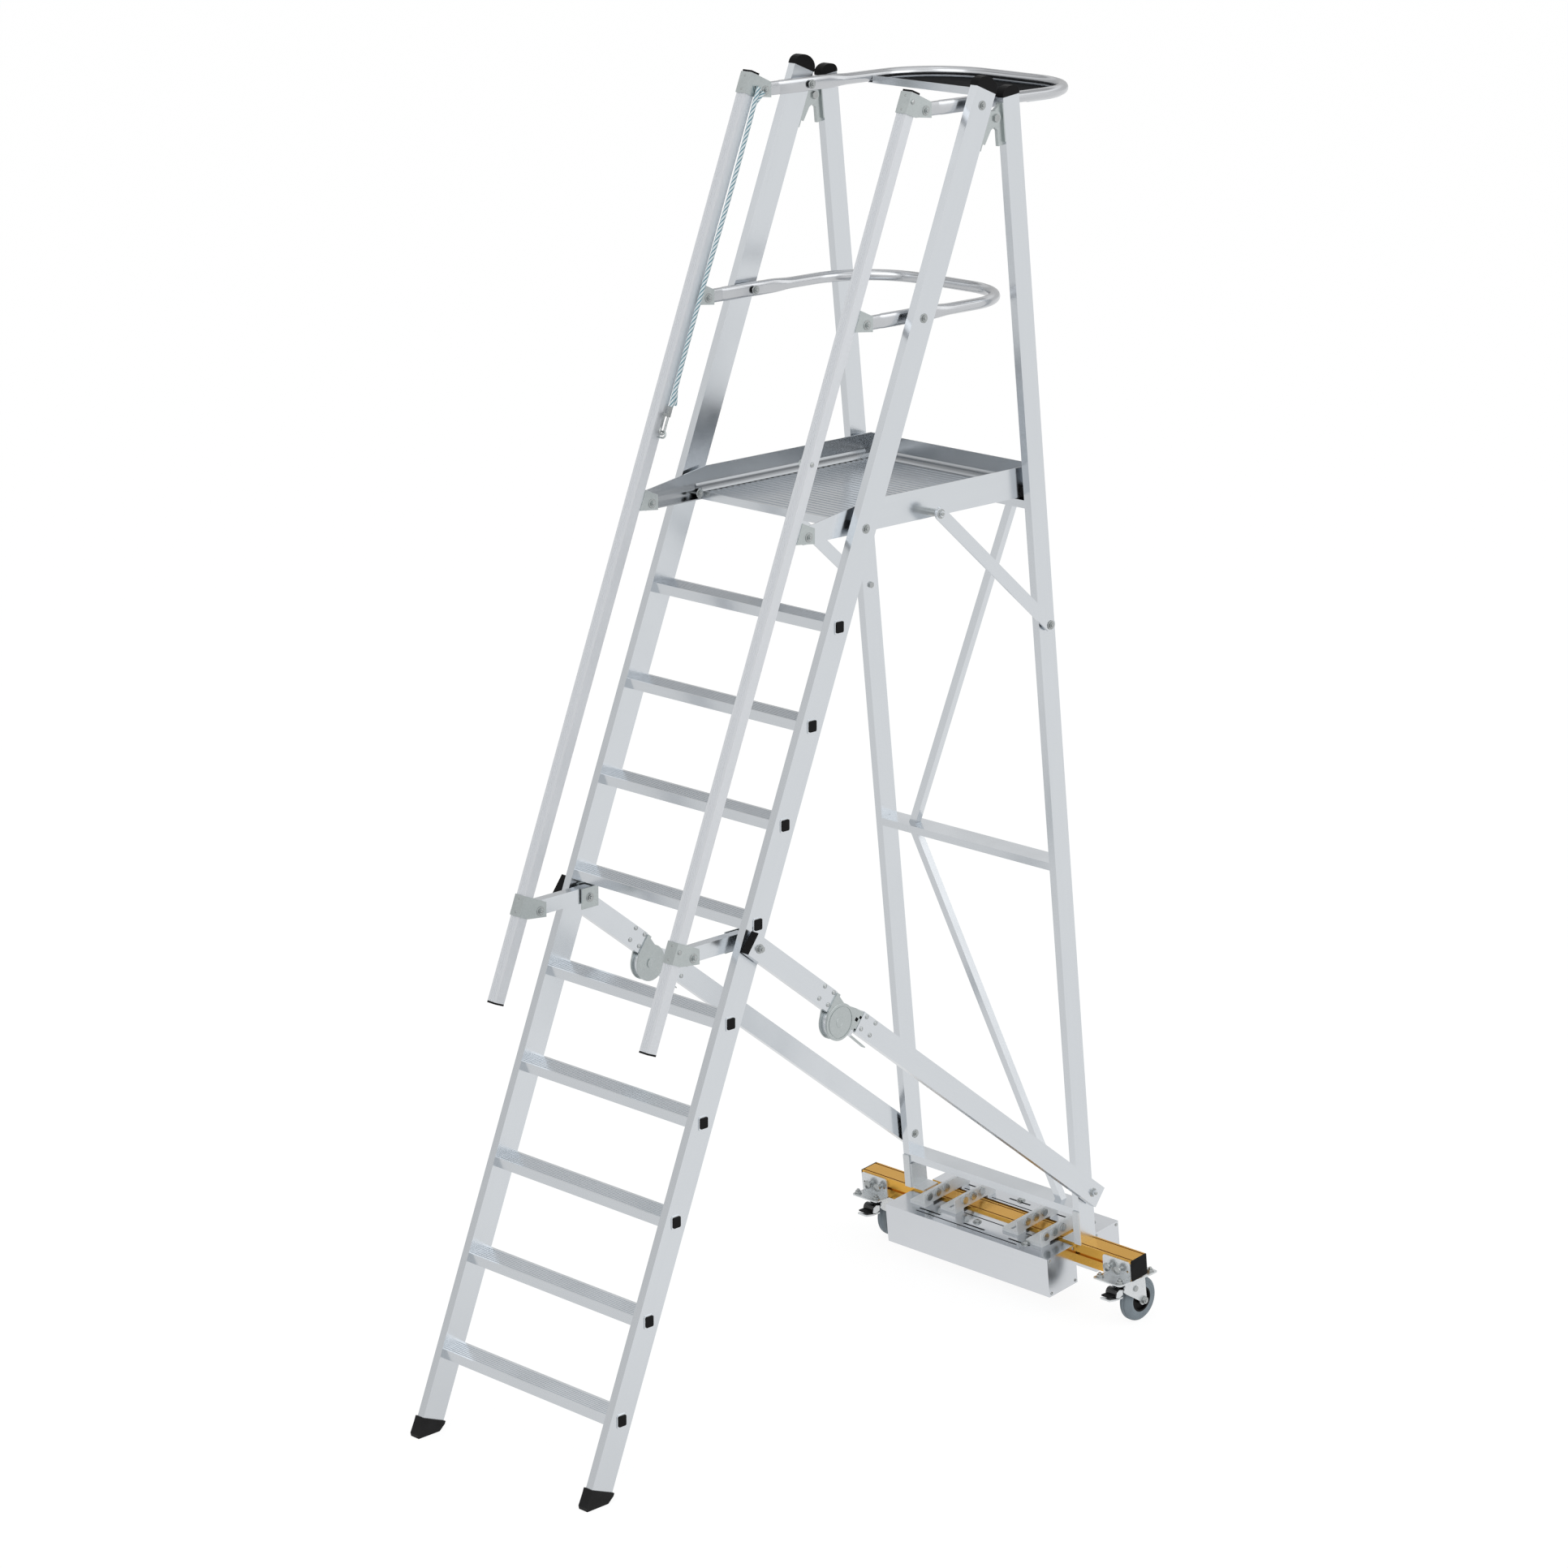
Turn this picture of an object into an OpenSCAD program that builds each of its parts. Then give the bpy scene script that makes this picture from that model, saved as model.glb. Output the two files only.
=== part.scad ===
/* [Ladder] */
// Angle of the ladder rails above the floor, degrees
rail_angle = 68; // [66:0.5:70]
// Width over the outer faces of the rails
width = 668; // [640:1:720]
// Thickness of a rail, across the ladder
rail_t = 23; // [21:1:26]
// Depth of a ladder rail, square to its length
rail_d = 74; // [70:1:80]
// Wall of the rails and cross tubes
rail_wall = 2.2; // [1.8:0.1:3]
// Length of ladder rail above the top pivot
rail_over = 41; // [36:1:60]
// Distance along the rail from the floor to its lower end
rail_lift = 30; // [28:1:34]
// Height of the black caps on the rails
cap_h = 34; // [24:1:44]
// Reach of a foot in front of the rail's line on the floor
foot_toe = 42; // [38:1:50]
// Reach of a foot behind the rail's line on the floor
foot_heel = 32; // [28:1:38]
// Wall of a foot round its rail
foot_wall = 4; // [3:0.5:6]

/* [Treads] */
// Number of treads below the platform
tread_count = 9; // [8:1:10]
// Height from one tread to the next
rise = 240; // [232:1:250]
// Height of the first tread
first_tread = 222; // [205:1:235]
// Depth of a tread
tread_depth = 70; // [62:1:74]
// Height of a tread's section
tread_h = 26; // [25:1:30]
// Distance of a tread's front behind the rail's front
tread_setback = 7; // [5:1:10]
// Wall of a tread's section
tread_wall = 2; // [1.5:0.1:2.5]
// Ribs on a tread
tread_ribs = 7; // [5:1:9]
// Width of a plug on the rail's outer face
plug_w = 26; // [22:1:28]
// Height of a plug on the rail's outer face
plug_h = 29; // [26:1:32]

/* [Pivots] */
// Lower arm's pivot above the fifth tread
arm_rise = 174; // [165:1:180]
// Platform's pivot above the last tread
platform_rise = 225; // [215:1:230]
// Middle guardrail above the platform's pivot
mid_rise = 510; // [480:1:540]
// Top guardrail above the platform's pivot
top_rise = 1026; // [1000:1:1060]
// Distance from the ladder's pivots to those on the handrails
arm_len = 173; // [165:1:185]
// Radius of the pivot bolts
bolt_r = 5; // [4:0.5:6]
// Radial running clearance of a pivot
run_gap = 0.05; // [0.03:0.01:0.08]
// Gap between parts that move past each other
side_gap = 0.3; // [0.3:0.1:0.6]
// Height of a bolt's head
head_h = 5; // [4:0.5:6]

/* [Rear frame] */
// Lean of the rear rails, degrees
rear_lean = 6.8; // [6:0.1:8]
// Depth of a rear rail
rear_d = 60; // [56:1:64]
// Hinge below the top pivot
hinge_drop = 37; // [30:1:45]
// Hinge behind the ladder rail's centreline
hinge_back = 70; // [68:1:76]
// Rear rail's centreline behind the hinge
rear_back = 59; // [57:1:64]
// Length of rear rail above the hinge
rear_over = 46; // [40:1:60]
// Height of a cross tube's section
tube_h = 22; // [18:1:26]
// Height of the middle cross tube
mid_tube_z = 1320; // [1280:1:1360]
// Height of the lower cross tube
low_tube_z = 298; // [290:1:330]
// Width of a diagonal brace
brace_w = 22; // [18:1:26]
// Distance of a brace's upper end from the middle
brace_top_x = 240; // [220:1:260]
// Distance of a brace's lower end from the middle
brace_low_x = 213; // [200:1:240]
// Radius of the hinge eyes
hinge_r = 18; // [15:1:20]
// Thickness of the bracket plates
plate_t = 4; // [3:0.5:5]

/* [Platform] */
// Reach of the platform behind its pivot
deck_reach = 676; // [640:1:690]
// Height of the toe boards
board_h = 80; // [70:1:100]
// Height of the platform's frame section
frame_h = 31; // [28:1:36]
// Width of the platform's frame section
frame_w = 26; // [22:1:28]
// Platform frame's underside below the pivot
frame_drop = 18; // [16:1:20]
// Sheet of the toe boards
board_t = 3; // [2:0.5:4]
// Thickness of the deck
deck_t = 21; // [18:1:24]
// Front edge of the deck behind the pivot
deck_front = 14; // [12:1:20]
// Ribs on the deck
deck_ribs = 30; // [20:1:36]
// Strut's pivot behind the platform's pivot
strut_back = 262; // [255:1:270]
// Strut's lower pivot below the platform's pivot
strut_drop = 366; // [350:1:380]
// Width of a strut
strut_w = 35; // [30:1:40]
// Thickness of a strut
strut_t = 7; // [6:0.5:9]

/* [Handrails] */
// Handrail's centreline in front of the ladder rail's
hand_front = 227; // [222:1:234]
// Width of a handrail's section, across the ladder
hand_w = 32; // [30:1:34]
// Depth of a handrail's section
hand_d = 30; // [26:1:32]
// Wall of a handrail
hand_wall = 1.8; // [1.5:0.1:2.2]
// Room between a handrail and the ladder rail
hand_room = 11; // [10:0.5:14]
// Handrail above its top bolt
hand_over = 29; // [24:1:34]
// Handrail below its lowest bolt
hand_under = 256; // [220:1:300]
// Height of a clip
clip_h = 56; // [50:1:64]
// Sheet of a clip
clip_t = 2.5; // [2:0.1:3]
// Diameter of the guardrail tube
hoop_d = 30; // [26:1:30]
// Wall of the guardrail tube
hoop_wall = 2; // [1.5:0.1:2.5]
// Corner radius of the guardrails
hoop_r = 195; // [170:1:210]
// Reach of the top guardrail behind its pivot
top_reach = 482; // [460:1:500]
// Reach of the middle guardrail behind its pivot
mid_reach = 438; // [420:1:460]
// Depth of the tray in the top guardrail
tray_d = 254; // [240:1:270]
// Height of the tray's front edge
tray_h = 18; // [14:1:22]
// Height of a lower arm's section
arm_h = 40; // [36:1:44]

/* [Spreaders] */
// Height of a spreader's rear pivot
spread_z = 360; // [345:1:380]
// Height of a spreader's section
spread_h = 60; // [54:1:64]
// Thickness of a spreader's section
spread_t = 22; // [20:1:25]
// Room between the ladder rail and a spreader
spread_room = 7; // [6:0.5:9]
// Lock hinge from the front pivot, along the spreader
lock_along = 387; // [370:1:410]
// Lock hinge below the spreader's centreline
lock_below = 32; // [31:1:34]
// Radius of the lock's discs
lock_r = 50; // [48:1:52]
// Thickness of a lock's disc
lock_t = 4.5; // [3.5:0.5:5]
// Length of a release lever
lever_l = 80; // [70:1:84]

/* [Chassis] */
// Diameter of a castor wheel
wheel_d = 127; // [120:1:140]
// Width of a castor wheel
wheel_w = 32; // [28:1:34]
// Castor axle behind the swivel
trail = 38; // [36:1:44]
// Length of the beam
beam_len = 1022; // [1000:1:1080]
// Depth of the beam
beam_d = 62; // [58:1:66]
// Height of the beam
beam_h = 61; // [56:1:66]
// Width of the ballast boxes
box_w = 616; // [580:1:620]
// Depth of the front box
front_box_d = 117; // [105:1:130]
// Height of the front box
front_box_h = 116; // [100:1:120]
// Front box's top below the beam's top
front_box_drop = 6; // [4:1:9]
// Depth of the rear box
rear_box_d = 102; // [95:1:115]
// Height of the rear box
rear_box_h = 119; // [110:1:125]
// Rear box's top below the beam's top
rear_box_drop = 6; // [4:1:9]
// Gap between the beam and the rear box
rear_box_gap = 18; // [15:1:24]
// Sheet of the boxes
box_wall = 2; // [1.5:0.1:3]

/* [Rope] */
// Diameter of the rope
rope_d = 12; // [10:1:12]
// Distance from the handrail's top to the hook's end
rope_drop = 960; // [900:10:1040]

/* [Hidden] */
$fn = 48;

// Colours
aluminium = [0.80, 0.82, 0.84];
galvanised = [0.72, 0.75, 0.74];
steel = [0.62, 0.64, 0.65];
black = [0.08, 0.08, 0.08];
amber = [0.80, 0.58, 0.20];
grey_rubber = [0.58, 0.63, 0.66];
rope_white = [0.88, 0.93, 0.94];

// A cut that goes right through a wall reaches this far past it
past = 1;

// Layers from the middle outwards: handrails and guardrails, then rails, then spreaders
x_out = width / 2;
x_in = x_out - rail_t;
x_rail = x_in + rail_t / 2;
x_hand_out = x_in - hand_room;
x_hand_in = x_hand_out - hand_w;
x_hand = x_hand_out - hand_w / 2;
x_spread_in = x_out + spread_room;
x_spread_out = x_spread_in + spread_t;
x_spread = x_spread_in + spread_t / 2;

// Heights of the pivots on the ladder rails
arm_tread = 4;
arm_z = tread_top(arm_tread) + arm_rise;
platform_z = tread_top(tread_count - 1) + platform_rise;
mid_z = platform_z + mid_rise;
top_z = platform_z + top_rise;
hinge_z = top_z - hinge_drop;

// Pivots as distance behind the ladder's line on the floor, and height
arm_p = rail_point(arm_z);
platform_p = rail_point(platform_z);
mid_p = rail_point(mid_z);
top_p = rail_point(top_z);
hinge_p = rail_point(hinge_z) + [hinge_back, 0];
strut_top_p = platform_p + [strut_back, 0];
strut_low_p = rear_point(platform_z - strut_drop);
spread_rear_p = rear_point(spread_z);
ladder_pivots = [arm_p, platform_p, mid_p, top_p];

// Ladder rail ends, along the rail
rail_end = along_rail(top_p) + rail_over;
collar_t = rail_lift + 11;

// Tread and plug
tread_tops = [for (i = [0:tread_count - 1]) tread_top(i)];
plug_drop = tread_h / 2;
stub_w = plug_w - 2;
stub_h = tread_h - 2;
rim_edge = 4;
rim_t = 2;
plug_t = 2;
rib_depth = 1.4;
tread_lip = 6;

// Hinge in the rails' own axes
hinge_n = off_rail(hinge_p);
hinge_s = along_rail(hinge_p);
hinge_rear_s = along_rear(hinge_p);
hinge_rear_m = off_rear(hinge_p);
hinge_pin_r = bolt_r + 1;
ear_x = 5;
ear_in = ear_x + plate_t;
hinge_up = 10;
hinge_down = 95;
hinge_root = 34;
hinge_leg = 75;
hinge_leg_w = 22;

// Rear frame, along its rails
rear_end = hinge_rear_s + rear_over;
upper_tube_z = platform_z - frame_drop - side_gap - tube_h / 2 * cos(rear_lean)
    - rear_d / 2 * sin(rear_lean);
tube_half = tube_h / 2;

// Castor: tyre, crown, swivel gap, castor plate and mount plate, from the floor up
crown_room = 1;
crown_t = 4.2;
castor_plate_t = 3;
mount_t = 3.5;
crown_z = wheel_d + crown_room;
castor_plate_z = crown_z + crown_t + side_gap;
mount_z = castor_plate_z + castor_plate_t;

// Beam, square to the rear rails: distances behind and along their centreline
beam_back = 3;
beam_front = beam_back - beam_d / 2;
beam_rear = beam_back + beam_d / 2;
beam_low = (mount_z + mount_t + side_gap - beam_front * sin(rear_lean)) / cos(rear_lean);
beam_top = beam_low + beam_h;
beam_y = rear_place(beam_back, beam_low + beam_h / 2).x;
beam_slot_w = 8;
beam_slot_d = 9;
beam_slot_y = 24;
beam_core = 24;
beam_cap_t = 4;
swivel_x = beam_len / 2 - 48;
castor_shift = 14;
king_r = 8;
king_head_r = 11;
king_drop = 4.5;
axle_r = 6;
axle_z = wheel_d / 2;
axle_y = beam_y + trail;
fork_in = wheel_w / 2 + 3;
fork_t = 4;
fork_r = 14;
fork_root = 42;
hub_r = 36;
hub_half = wheel_w / 2 + 2;
pedal_p = [beam_y - 36, wheel_d - 17];
pedal_r = 5;
pedal_roll_r = 14;
pedal_roll_p = pedal_p + [-25, -3];
pedal_half = fork_in - side_gap;
pedal_tongue = 22;

// Mounts of the castors under the beam
mount_x0 = beam_len / 2 - 99;
mount_x1 = beam_len / 2;
mount_front = 79;
mount_back = 85;
mount_r = 9;
castor_bolt_x = 36;
castor_bolt_y = 64;

// Ballast boxes and their clamp angles
front_box_y = beam_front - front_box_d;
front_box_top = beam_top - front_box_drop;
rear_box_y = beam_rear + rear_box_gap;
rear_box_top = beam_top - rear_box_drop;
box_slot_w = 6;
box_slot_l = 80;
box_slot_x = [-170, 0, 170];
angle_w = 59;
angle_h = 36;
angle_slot = [8, 22];
knob_r = 11;
knob_t = 6;
outer_angle_x = [-197, 246];
inner_angle_x = [-97, 140];
outer_angle_y = beam_front - 69;
inner_angle_y = beam_front - 50;
angle_end = rear_box_y + 38;

// Whole length, used to put the origin in the middle
part_front = -foot_toe;
part_rear = rear_place(rear_box_y + rear_box_d, rear_box_top - rear_box_h).x;
y_shift = -(part_front + part_rear) / 2;

// Platform, from its pivot
deck_z0 = platform_z - frame_drop;
deck_top_z = deck_z0 + deck_t;
board_x = x_hand_out - side_gap * 2;
board_tip = 16;
board_tip_h = 43;
board_chamfer = 54;
board_rear_y = platform_p.x + deck_reach;
frame_in_x = board_x - frame_w;
spacer_r = 10;
glide_h = 26;
deck_rib_d = 1.5;
toe_gap_y = board_rear_y - frame_w;

// Handrails, along the ladder rail
hand_n = -hand_front * sin(rail_angle);
hand_top_t = along_rail(top_p - [arm_len, 0]) + hand_over;
hand_low_t = along_rail(arm_p - [arm_len, 0]) - hand_under;
hand_cap_t = 5;
ear_reach = 21;
ear_half = 20;
eye_r = 8;
eye_wire = 2.5;
eye_leg = 17;
lug_t = 3;

// Guardrail tube ends
hoop_end = 18;
hoop_r_out = hoop_d / 2;

// Lower arms and their brackets
arm_end = 18;
arm_up = 7;
arm_wall = 2;
bracket_half = 28;
bracket_back = 30;

// Spreaders, along the line between their pivots
spread_drop = atan2(arm_p.y - spread_rear_p.y, spread_rear_p.x - arm_p.x);
spread_len = norm(spread_rear_p - arm_p);
spread_front_over = 28;
spread_rear_over = 38;
spread_wall = 1.5;
spread_half = spread_h / 2;
core_half = spread_t / 2 - spread_wall;
lock_p = [lock_along, -lock_below];
lock_near = 57;
lock_far = 72;
lock_pin_r = 7;
core_len = 40;
shield_r = 44;
shield_clear = 2.5;
rivet_r = 5;
rivet_h = 2;
rivet_front = [67, 107];
rivet_rear = [88, 129];
rivet_up = [19, 54];
lever_p = [58, -8];
lever_r = 6;
lever_pin_r = 3;
lever_half = 6.9;
lever_t = 3;
lug_r = 8;

// Rope on the left handrail, from the top clip to the hook
rope_x = -(x_hand_in - clip_t - rope_d / 2 - 1);
rope_n = hand_n + 16;
rope_top_t = hand_top_t - 30;
hook_len = 76;
hook_bar = 8;
hook_wire = 3;
hook_bow = 8;
gate_pivot = 52;
gate_half = 2.2;
gate_pin_r = 1.5;
gate_eye_r = 3.5;
eye_t = hand_top_t - rope_drop;
rope_low_t = eye_t + hook_len;
rope_r = rope_d / 2;
rope_sides = 10;
rope_steps = 30;
rope_sway = 3;

// Distance of a castor's swivel from the middle, both moved the same way
function castor_x(s) = swivel_x + s * castor_shift;
// Height of a tread's top
function tread_top(i) = first_tread + i * rise;
// Point of the ladder rail's centreline at a height
function rail_point(z) = [z / tan(rail_angle), z];
// Point of the rear rail's centreline at a height
function rear_point(z) = hinge_p + [rear_back + (hinge_z - z) * tan(rear_lean), z - hinge_z];
// Distance of a point along the ladder rail
function along_rail(p) = p.x * cos(rail_angle) + p.y * sin(rail_angle);
// Distance of a point behind the ladder rail's centreline
function off_rail(p) = p.x * sin(rail_angle) - p.y * cos(rail_angle);
// Distance of a point along the rear rail
function along_rear(p) = -(p.x - rear_point(0).x) * sin(rear_lean) + p.y * cos(rear_lean);
// Distance of a point behind the rear rail's centreline
function off_rear(p) = (p.x - rear_point(0).x) * cos(rear_lean) + p.y * sin(rear_lean);
// Point in the ladder's side plane, from distances off and along the rail
function rail_place(n, t) = [
    t * cos(rail_angle) + n * sin(rail_angle),
    t * sin(rail_angle) - n * cos(rail_angle)
];
// Point in the same plane, from distances behind and along the rear rail
function rear_place(m, s) = [
    rear_point(0).x + m * cos(rear_lean) - s * sin(rear_lean),
    m * sin(rear_lean) + s * cos(rear_lean)
];
// The handrail's bolt that belongs to a pivot on the ladder
function hand_bolt(p) = p - [arm_len, 0];

// Move everything so that the origin is in the middle of the footprint
module placed() {
    translate([0, y_shift, 0]) children();
}

// Mirror a right-hand piece to the left
module side(s) {
    if (s > 0) children();
    else mirror([1, 0, 0]) children();
}

module both() {
    for (s = [-1, 1]) side(s) children();
}

// Turn a drawing of distance and height into a plate across the part
module across(x0, x1) {
    translate([x0, 0, 0]) rotate([90, 0, 90]) linear_extrude(x1 - x0) children();
}

// Cylinder across the part at a point of the side plane
module pin(x0, x1, p, r) {
    translate([x0, p.x, p.y]) rotate([0, 90, 0]) cylinder(r = r, h = x1 - x0);
}

// Hexagon head across the part
module hex(x0, x1, p, r) {
    translate([x0, p.x, p.y]) rotate([0, 90, 0]) cylinder(r = r, h = x1 - x0, $fn = 6);
}

// Axes of the ladder rail: Y behind it, Z along it
module ladder_axes() {
    rotate([rail_angle - 90, 0, 0]) children();
}

// Axes of the rear rail: Y behind it, Z along it
module rear_axes() {
    translate([0, rear_point(0).x, 0]) rotate([rear_lean, 0, 0]) children();
}

// Axes of a spreader: Y along it from the front pivot, Z above it
module spread_axes() {
    translate([0, arm_p.x, arm_p.y]) rotate([-spread_drop, 0, 0]) children();
}

// Rectangle between two corners
module rect(a, b) {
    translate(a) square(b - a);
}

// Rectangle with round corners
module round_rect(a, b, r) {
    rect(a + [r, 0], b - [r, 0]);
    rect(a + [0, r], b - [0, r]);
    for (x = [a.x + r, b.x - r])
        for (y = [a.y + r, b.y - r])
            translate([x, y]) circle(r);
}

// Straight box section along Z, open at its ends
module box_tube(x0, y0, z0, size, wall) {
    difference() {
        translate([x0, y0, z0]) cube(size);
        translate([x0 + wall, y0 + wall, z0 - past])
            cube([size.x - 2 * wall, size.y - 2 * wall, size.z + 2 * past]);
    }
}

// Domed cap on a rail's end, drawn in the rail's axes
module dome(x0, x1, half, base, h) {
    steps = 12;
    foot = h / 5;
    across(x0, x1)
        polygon(concat(
            [[half, base], [-half, base]],
            [for (i = [0:steps])
                [-half * cos(180 * i / steps), base + foot + (h - foot) * sin(180 * i / steps)]]
        ));
}

// Ladder rails
module ladder_rail(s) {
    color(aluminium) placed() side(s) difference() {
        ladder_axes()
            box_tube(x_in, -rail_d / 2, rail_lift, [rail_t, rail_d, rail_end - rail_lift], rail_wall);
        for (z = tread_tops) plug_place(z)
            across(x_in - past, x_out + past)
                rect([-stub_w, -stub_h] / 2, [stub_w, stub_h] / 2);
        for (p = ladder_pivots) pin(x_in - past, x_out + past, p, bolt_r + run_gap);
    }
}

module ladder_rail_left() ladder_rail(-1);
module ladder_rail_right() ladder_rail(1);

// Centre of the plug of the tread whose top is at a height
module plug_place(z) {
    p = rail_point(z - plug_drop);
    translate([0, p.x, p.y]) children();
}

// Section of a tread, from its front edge and its top
module tread_section() {
    pitch = (tread_depth - 2 * tread_lip) / tread_ribs;
    difference() {
        polygon(concat(
            [[0, -tread_h], [0, 0], [tread_lip, 0]],
            [for (i = [0:tread_ribs - 1], q = [[0, -rib_depth], [0.5, -rib_depth], [0.5, 0], [1, 0]])
                [tread_lip + (i + q.x) * pitch, q.y]],
            [[tread_depth, 0], [tread_depth, -tread_h]]
        ));
        rect([tread_wall, tread_wall - tread_h], [tread_depth - tread_wall, -tread_wall - rib_depth]);
    }
}

// Treads, each with a square tube through both rails and a flared rim outside
module treads() {
    color(aluminium) placed() for (z = tread_tops) {
        front = rail_point(z).x - rail_d / 2 / sin(rail_angle) + tread_setback;
        translate([0, front, z]) across(-x_in, x_in) tread_section();
        both() plug_place(z) {
            difference() {
                union() {
                    across(x_in - tread_lip, x_out)
                        rect([-stub_w, -stub_h] / 2, [stub_w, stub_h] / 2);
                    across(x_out, x_out + rim_t)
                        round_rect(-[plug_w, plug_h] / 2 - [rim_edge, rim_edge],
                            [plug_w, plug_h] / 2 + [rim_edge, rim_edge], rim_edge + 2);
                }
                across(x_in - tread_lip - past, x_out + rim_t + past)
                    rect([tread_wall - stub_w / 2, tread_wall - stub_h / 2],
                        [stub_w / 2 - tread_wall, stub_h / 2 - tread_wall]);
            }
        }
    }
}

// Black plugs in the treads' ends
module tread_plugs() {
    color(black) placed() both() for (z = tread_tops) plug_place(z) {
        across(x_out + rim_t, x_out + rim_t + plug_t)
            round_rect(-[plug_w, plug_h] / 2, [plug_w, plug_h] / 2, rim_edge);
        across(x_in + rail_wall, x_out + rim_t)
            rect([tread_wall - stub_w / 2, tread_wall - stub_h / 2],
                [stub_w / 2 - tread_wall, stub_h / 2 - tread_wall]);
    }
}

// Rubber feet, each a boot round the rail's end
module feet() {
    out = rail_d / 2 + foot_wall;
    color(black) placed() both() difference() {
        across(x_in - foot_wall, x_out + foot_wall)
            polygon([
                rail_place(-out, collar_t), rail_place(out, collar_t),
                rail_place(out, rail_lift + 3), [foot_heel, 0], [-foot_toe + 2, 0],
                [-foot_toe, 10], rail_place(-out, rail_lift - 6)
            ]);
        ladder_axes() translate([x_in, -rail_d / 2, rail_lift]) cube([rail_t, rail_d, rail_d]);
    }
}

module ladder_caps() {
    color(black) placed() both() ladder_axes()
        dome(x_in - past, x_out + past, rail_d / 2 + past, rail_end, cap_h);
}

// Two eyes behind the ladder rail, and the bracket that carries a lower arm
module ladder_brackets() {
    rail_back = rail_d / 2;
    color(galvanised) placed() both() {
        difference() {
            ladder_axes() {
                translate([x_in, rail_back, hinge_s - hinge_down])
                    cube([rail_t, plate_t, hinge_down + hinge_up]);
                for (x = [x_rail - ear_in, x_rail + ear_x]) across(x, x + plate_t) {
                    translate([hinge_n, hinge_s]) circle(hinge_r);
                    polygon([
                        [rail_back, hinge_s - hinge_leg], [rail_back, hinge_s + hinge_up],
                        [hinge_n, hinge_s + hinge_r],
                        [hinge_n, hinge_s] + hinge_r * [cos(50), -sin(50)],
                        [rail_back + hinge_leg_w, hinge_s - hinge_root],
                        [rail_back + hinge_leg_w * 0.7, hinge_s - hinge_leg]
                    ]);
                }
            }
            pin(x_in - past, x_out + past, hinge_p, hinge_pin_r);
        }
        arm_bracket();
    }
}

// Plate beside the arm's inner face, held to the rail by a web behind the arm
module arm_bracket() {
    back = arm_p.x + bracket_back;
    difference() {
        union() {
            across(x_hand_in - plate_t, x_hand_in)
                rect([arm_p.x - bracket_half, arm_z - bracket_half], [back, arm_z + bracket_half]);
            across(x_hand_in, x_in)
                rect([back - plate_t, arm_z - bracket_half], [back, arm_z + bracket_half]);
            across(x_in - plate_t, x_in)
                rect([arm_p.x, arm_z - bracket_half], [back - plate_t, arm_z + bracket_half]);
        }
        pin(x_hand_in - plate_t - past, x_in + past, arm_p, bolt_r + run_gap);
    }
}

// Pivot bolts on the ladder rails and the hinge pins
module ladder_bolts() {
    head_r = bolt_r * 1.8;
    inner = x_hand_in - plate_t;
    color(steel) placed() both() {
        for (p = [platform_p, mid_p, top_p]) {
            pin(x_hand_in - side_gap, x_out, p, bolt_r);
            hex(x_out, x_out + head_h, p, head_r);
            hex(x_hand_in - side_gap - head_h, x_hand_in - side_gap, p, head_r);
        }
        pin(inner, x_spread_out + side_gap, arm_p, bolt_r);
        pin(x_out, x_spread_in - side_gap, arm_p, bolt_r * 2);
        hex(x_spread_out + side_gap, x_spread_out + side_gap + head_h * 2, arm_p, head_r);
        hex(inner - head_h, inner, arm_p, head_r);
        pin(x_rail - ear_in, x_rail + ear_in, hinge_p, hinge_pin_r);
        hex(x_rail + ear_in, x_rail + ear_in + head_h, hinge_p, hinge_pin_r * 1.8);
        hex(x_rail - ear_in - head_h, x_rail - ear_in, hinge_p, hinge_pin_r * 1.8);
    }
}

// Rear rails, standing square on the beam
module rear_rail(s) {
    color(aluminium) placed() side(s) difference() {
        rear_axes()
            box_tube(x_in, -rear_d / 2, beam_top, [rail_t, rear_d, rear_end - beam_top], rail_wall);
        pin(x_in - past, x_out + past, strut_low_p, bolt_r);
        pin(x_in - past, x_out + past, spread_rear_p, bolt_r);
    }
}

module rear_rail_left() rear_rail(-1);
module rear_rail_right() rear_rail(1);

// Caps on the rear rails and on the beam's ends
module rear_caps() {
    color(black) placed() both() rear_axes() {
        dome(x_in - past, x_out + past, rear_d / 2 + past, rear_end, cap_h * 0.75);
        translate([beam_len / 2, beam_front, beam_low]) cube([beam_cap_t, beam_d, beam_h]);
    }
}

// One eye in front of each rear rail, between the ladder's two
module rear_hinge_plates() {
    front = -rear_d / 2;
    color(galvanised) placed() both() difference() {
        rear_axes() {
            translate([x_in, front - plate_t, hinge_rear_s - hinge_down * 0.7])
                cube([rail_t, plate_t, hinge_down * 0.7 + hinge_root]);
            across(x_rail - ear_x + side_gap, x_rail + ear_x - side_gap) {
                translate([hinge_rear_m, hinge_rear_s]) circle(hinge_r);
                polygon([
                    [front, hinge_rear_s - hinge_leg], [front, hinge_rear_s + hinge_root],
                    [hinge_rear_m, hinge_rear_s + hinge_r],
                    [hinge_rear_m, hinge_rear_s] - hinge_r * [cos(50), sin(50)],
                    [front - hinge_leg_w, hinge_rear_s - hinge_root],
                    [front - hinge_leg_w, hinge_rear_s - hinge_leg]
                ]);
            }
        }
        pin(x_in - past, x_out + past, hinge_p, hinge_pin_r + run_gap);
    }
}

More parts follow.
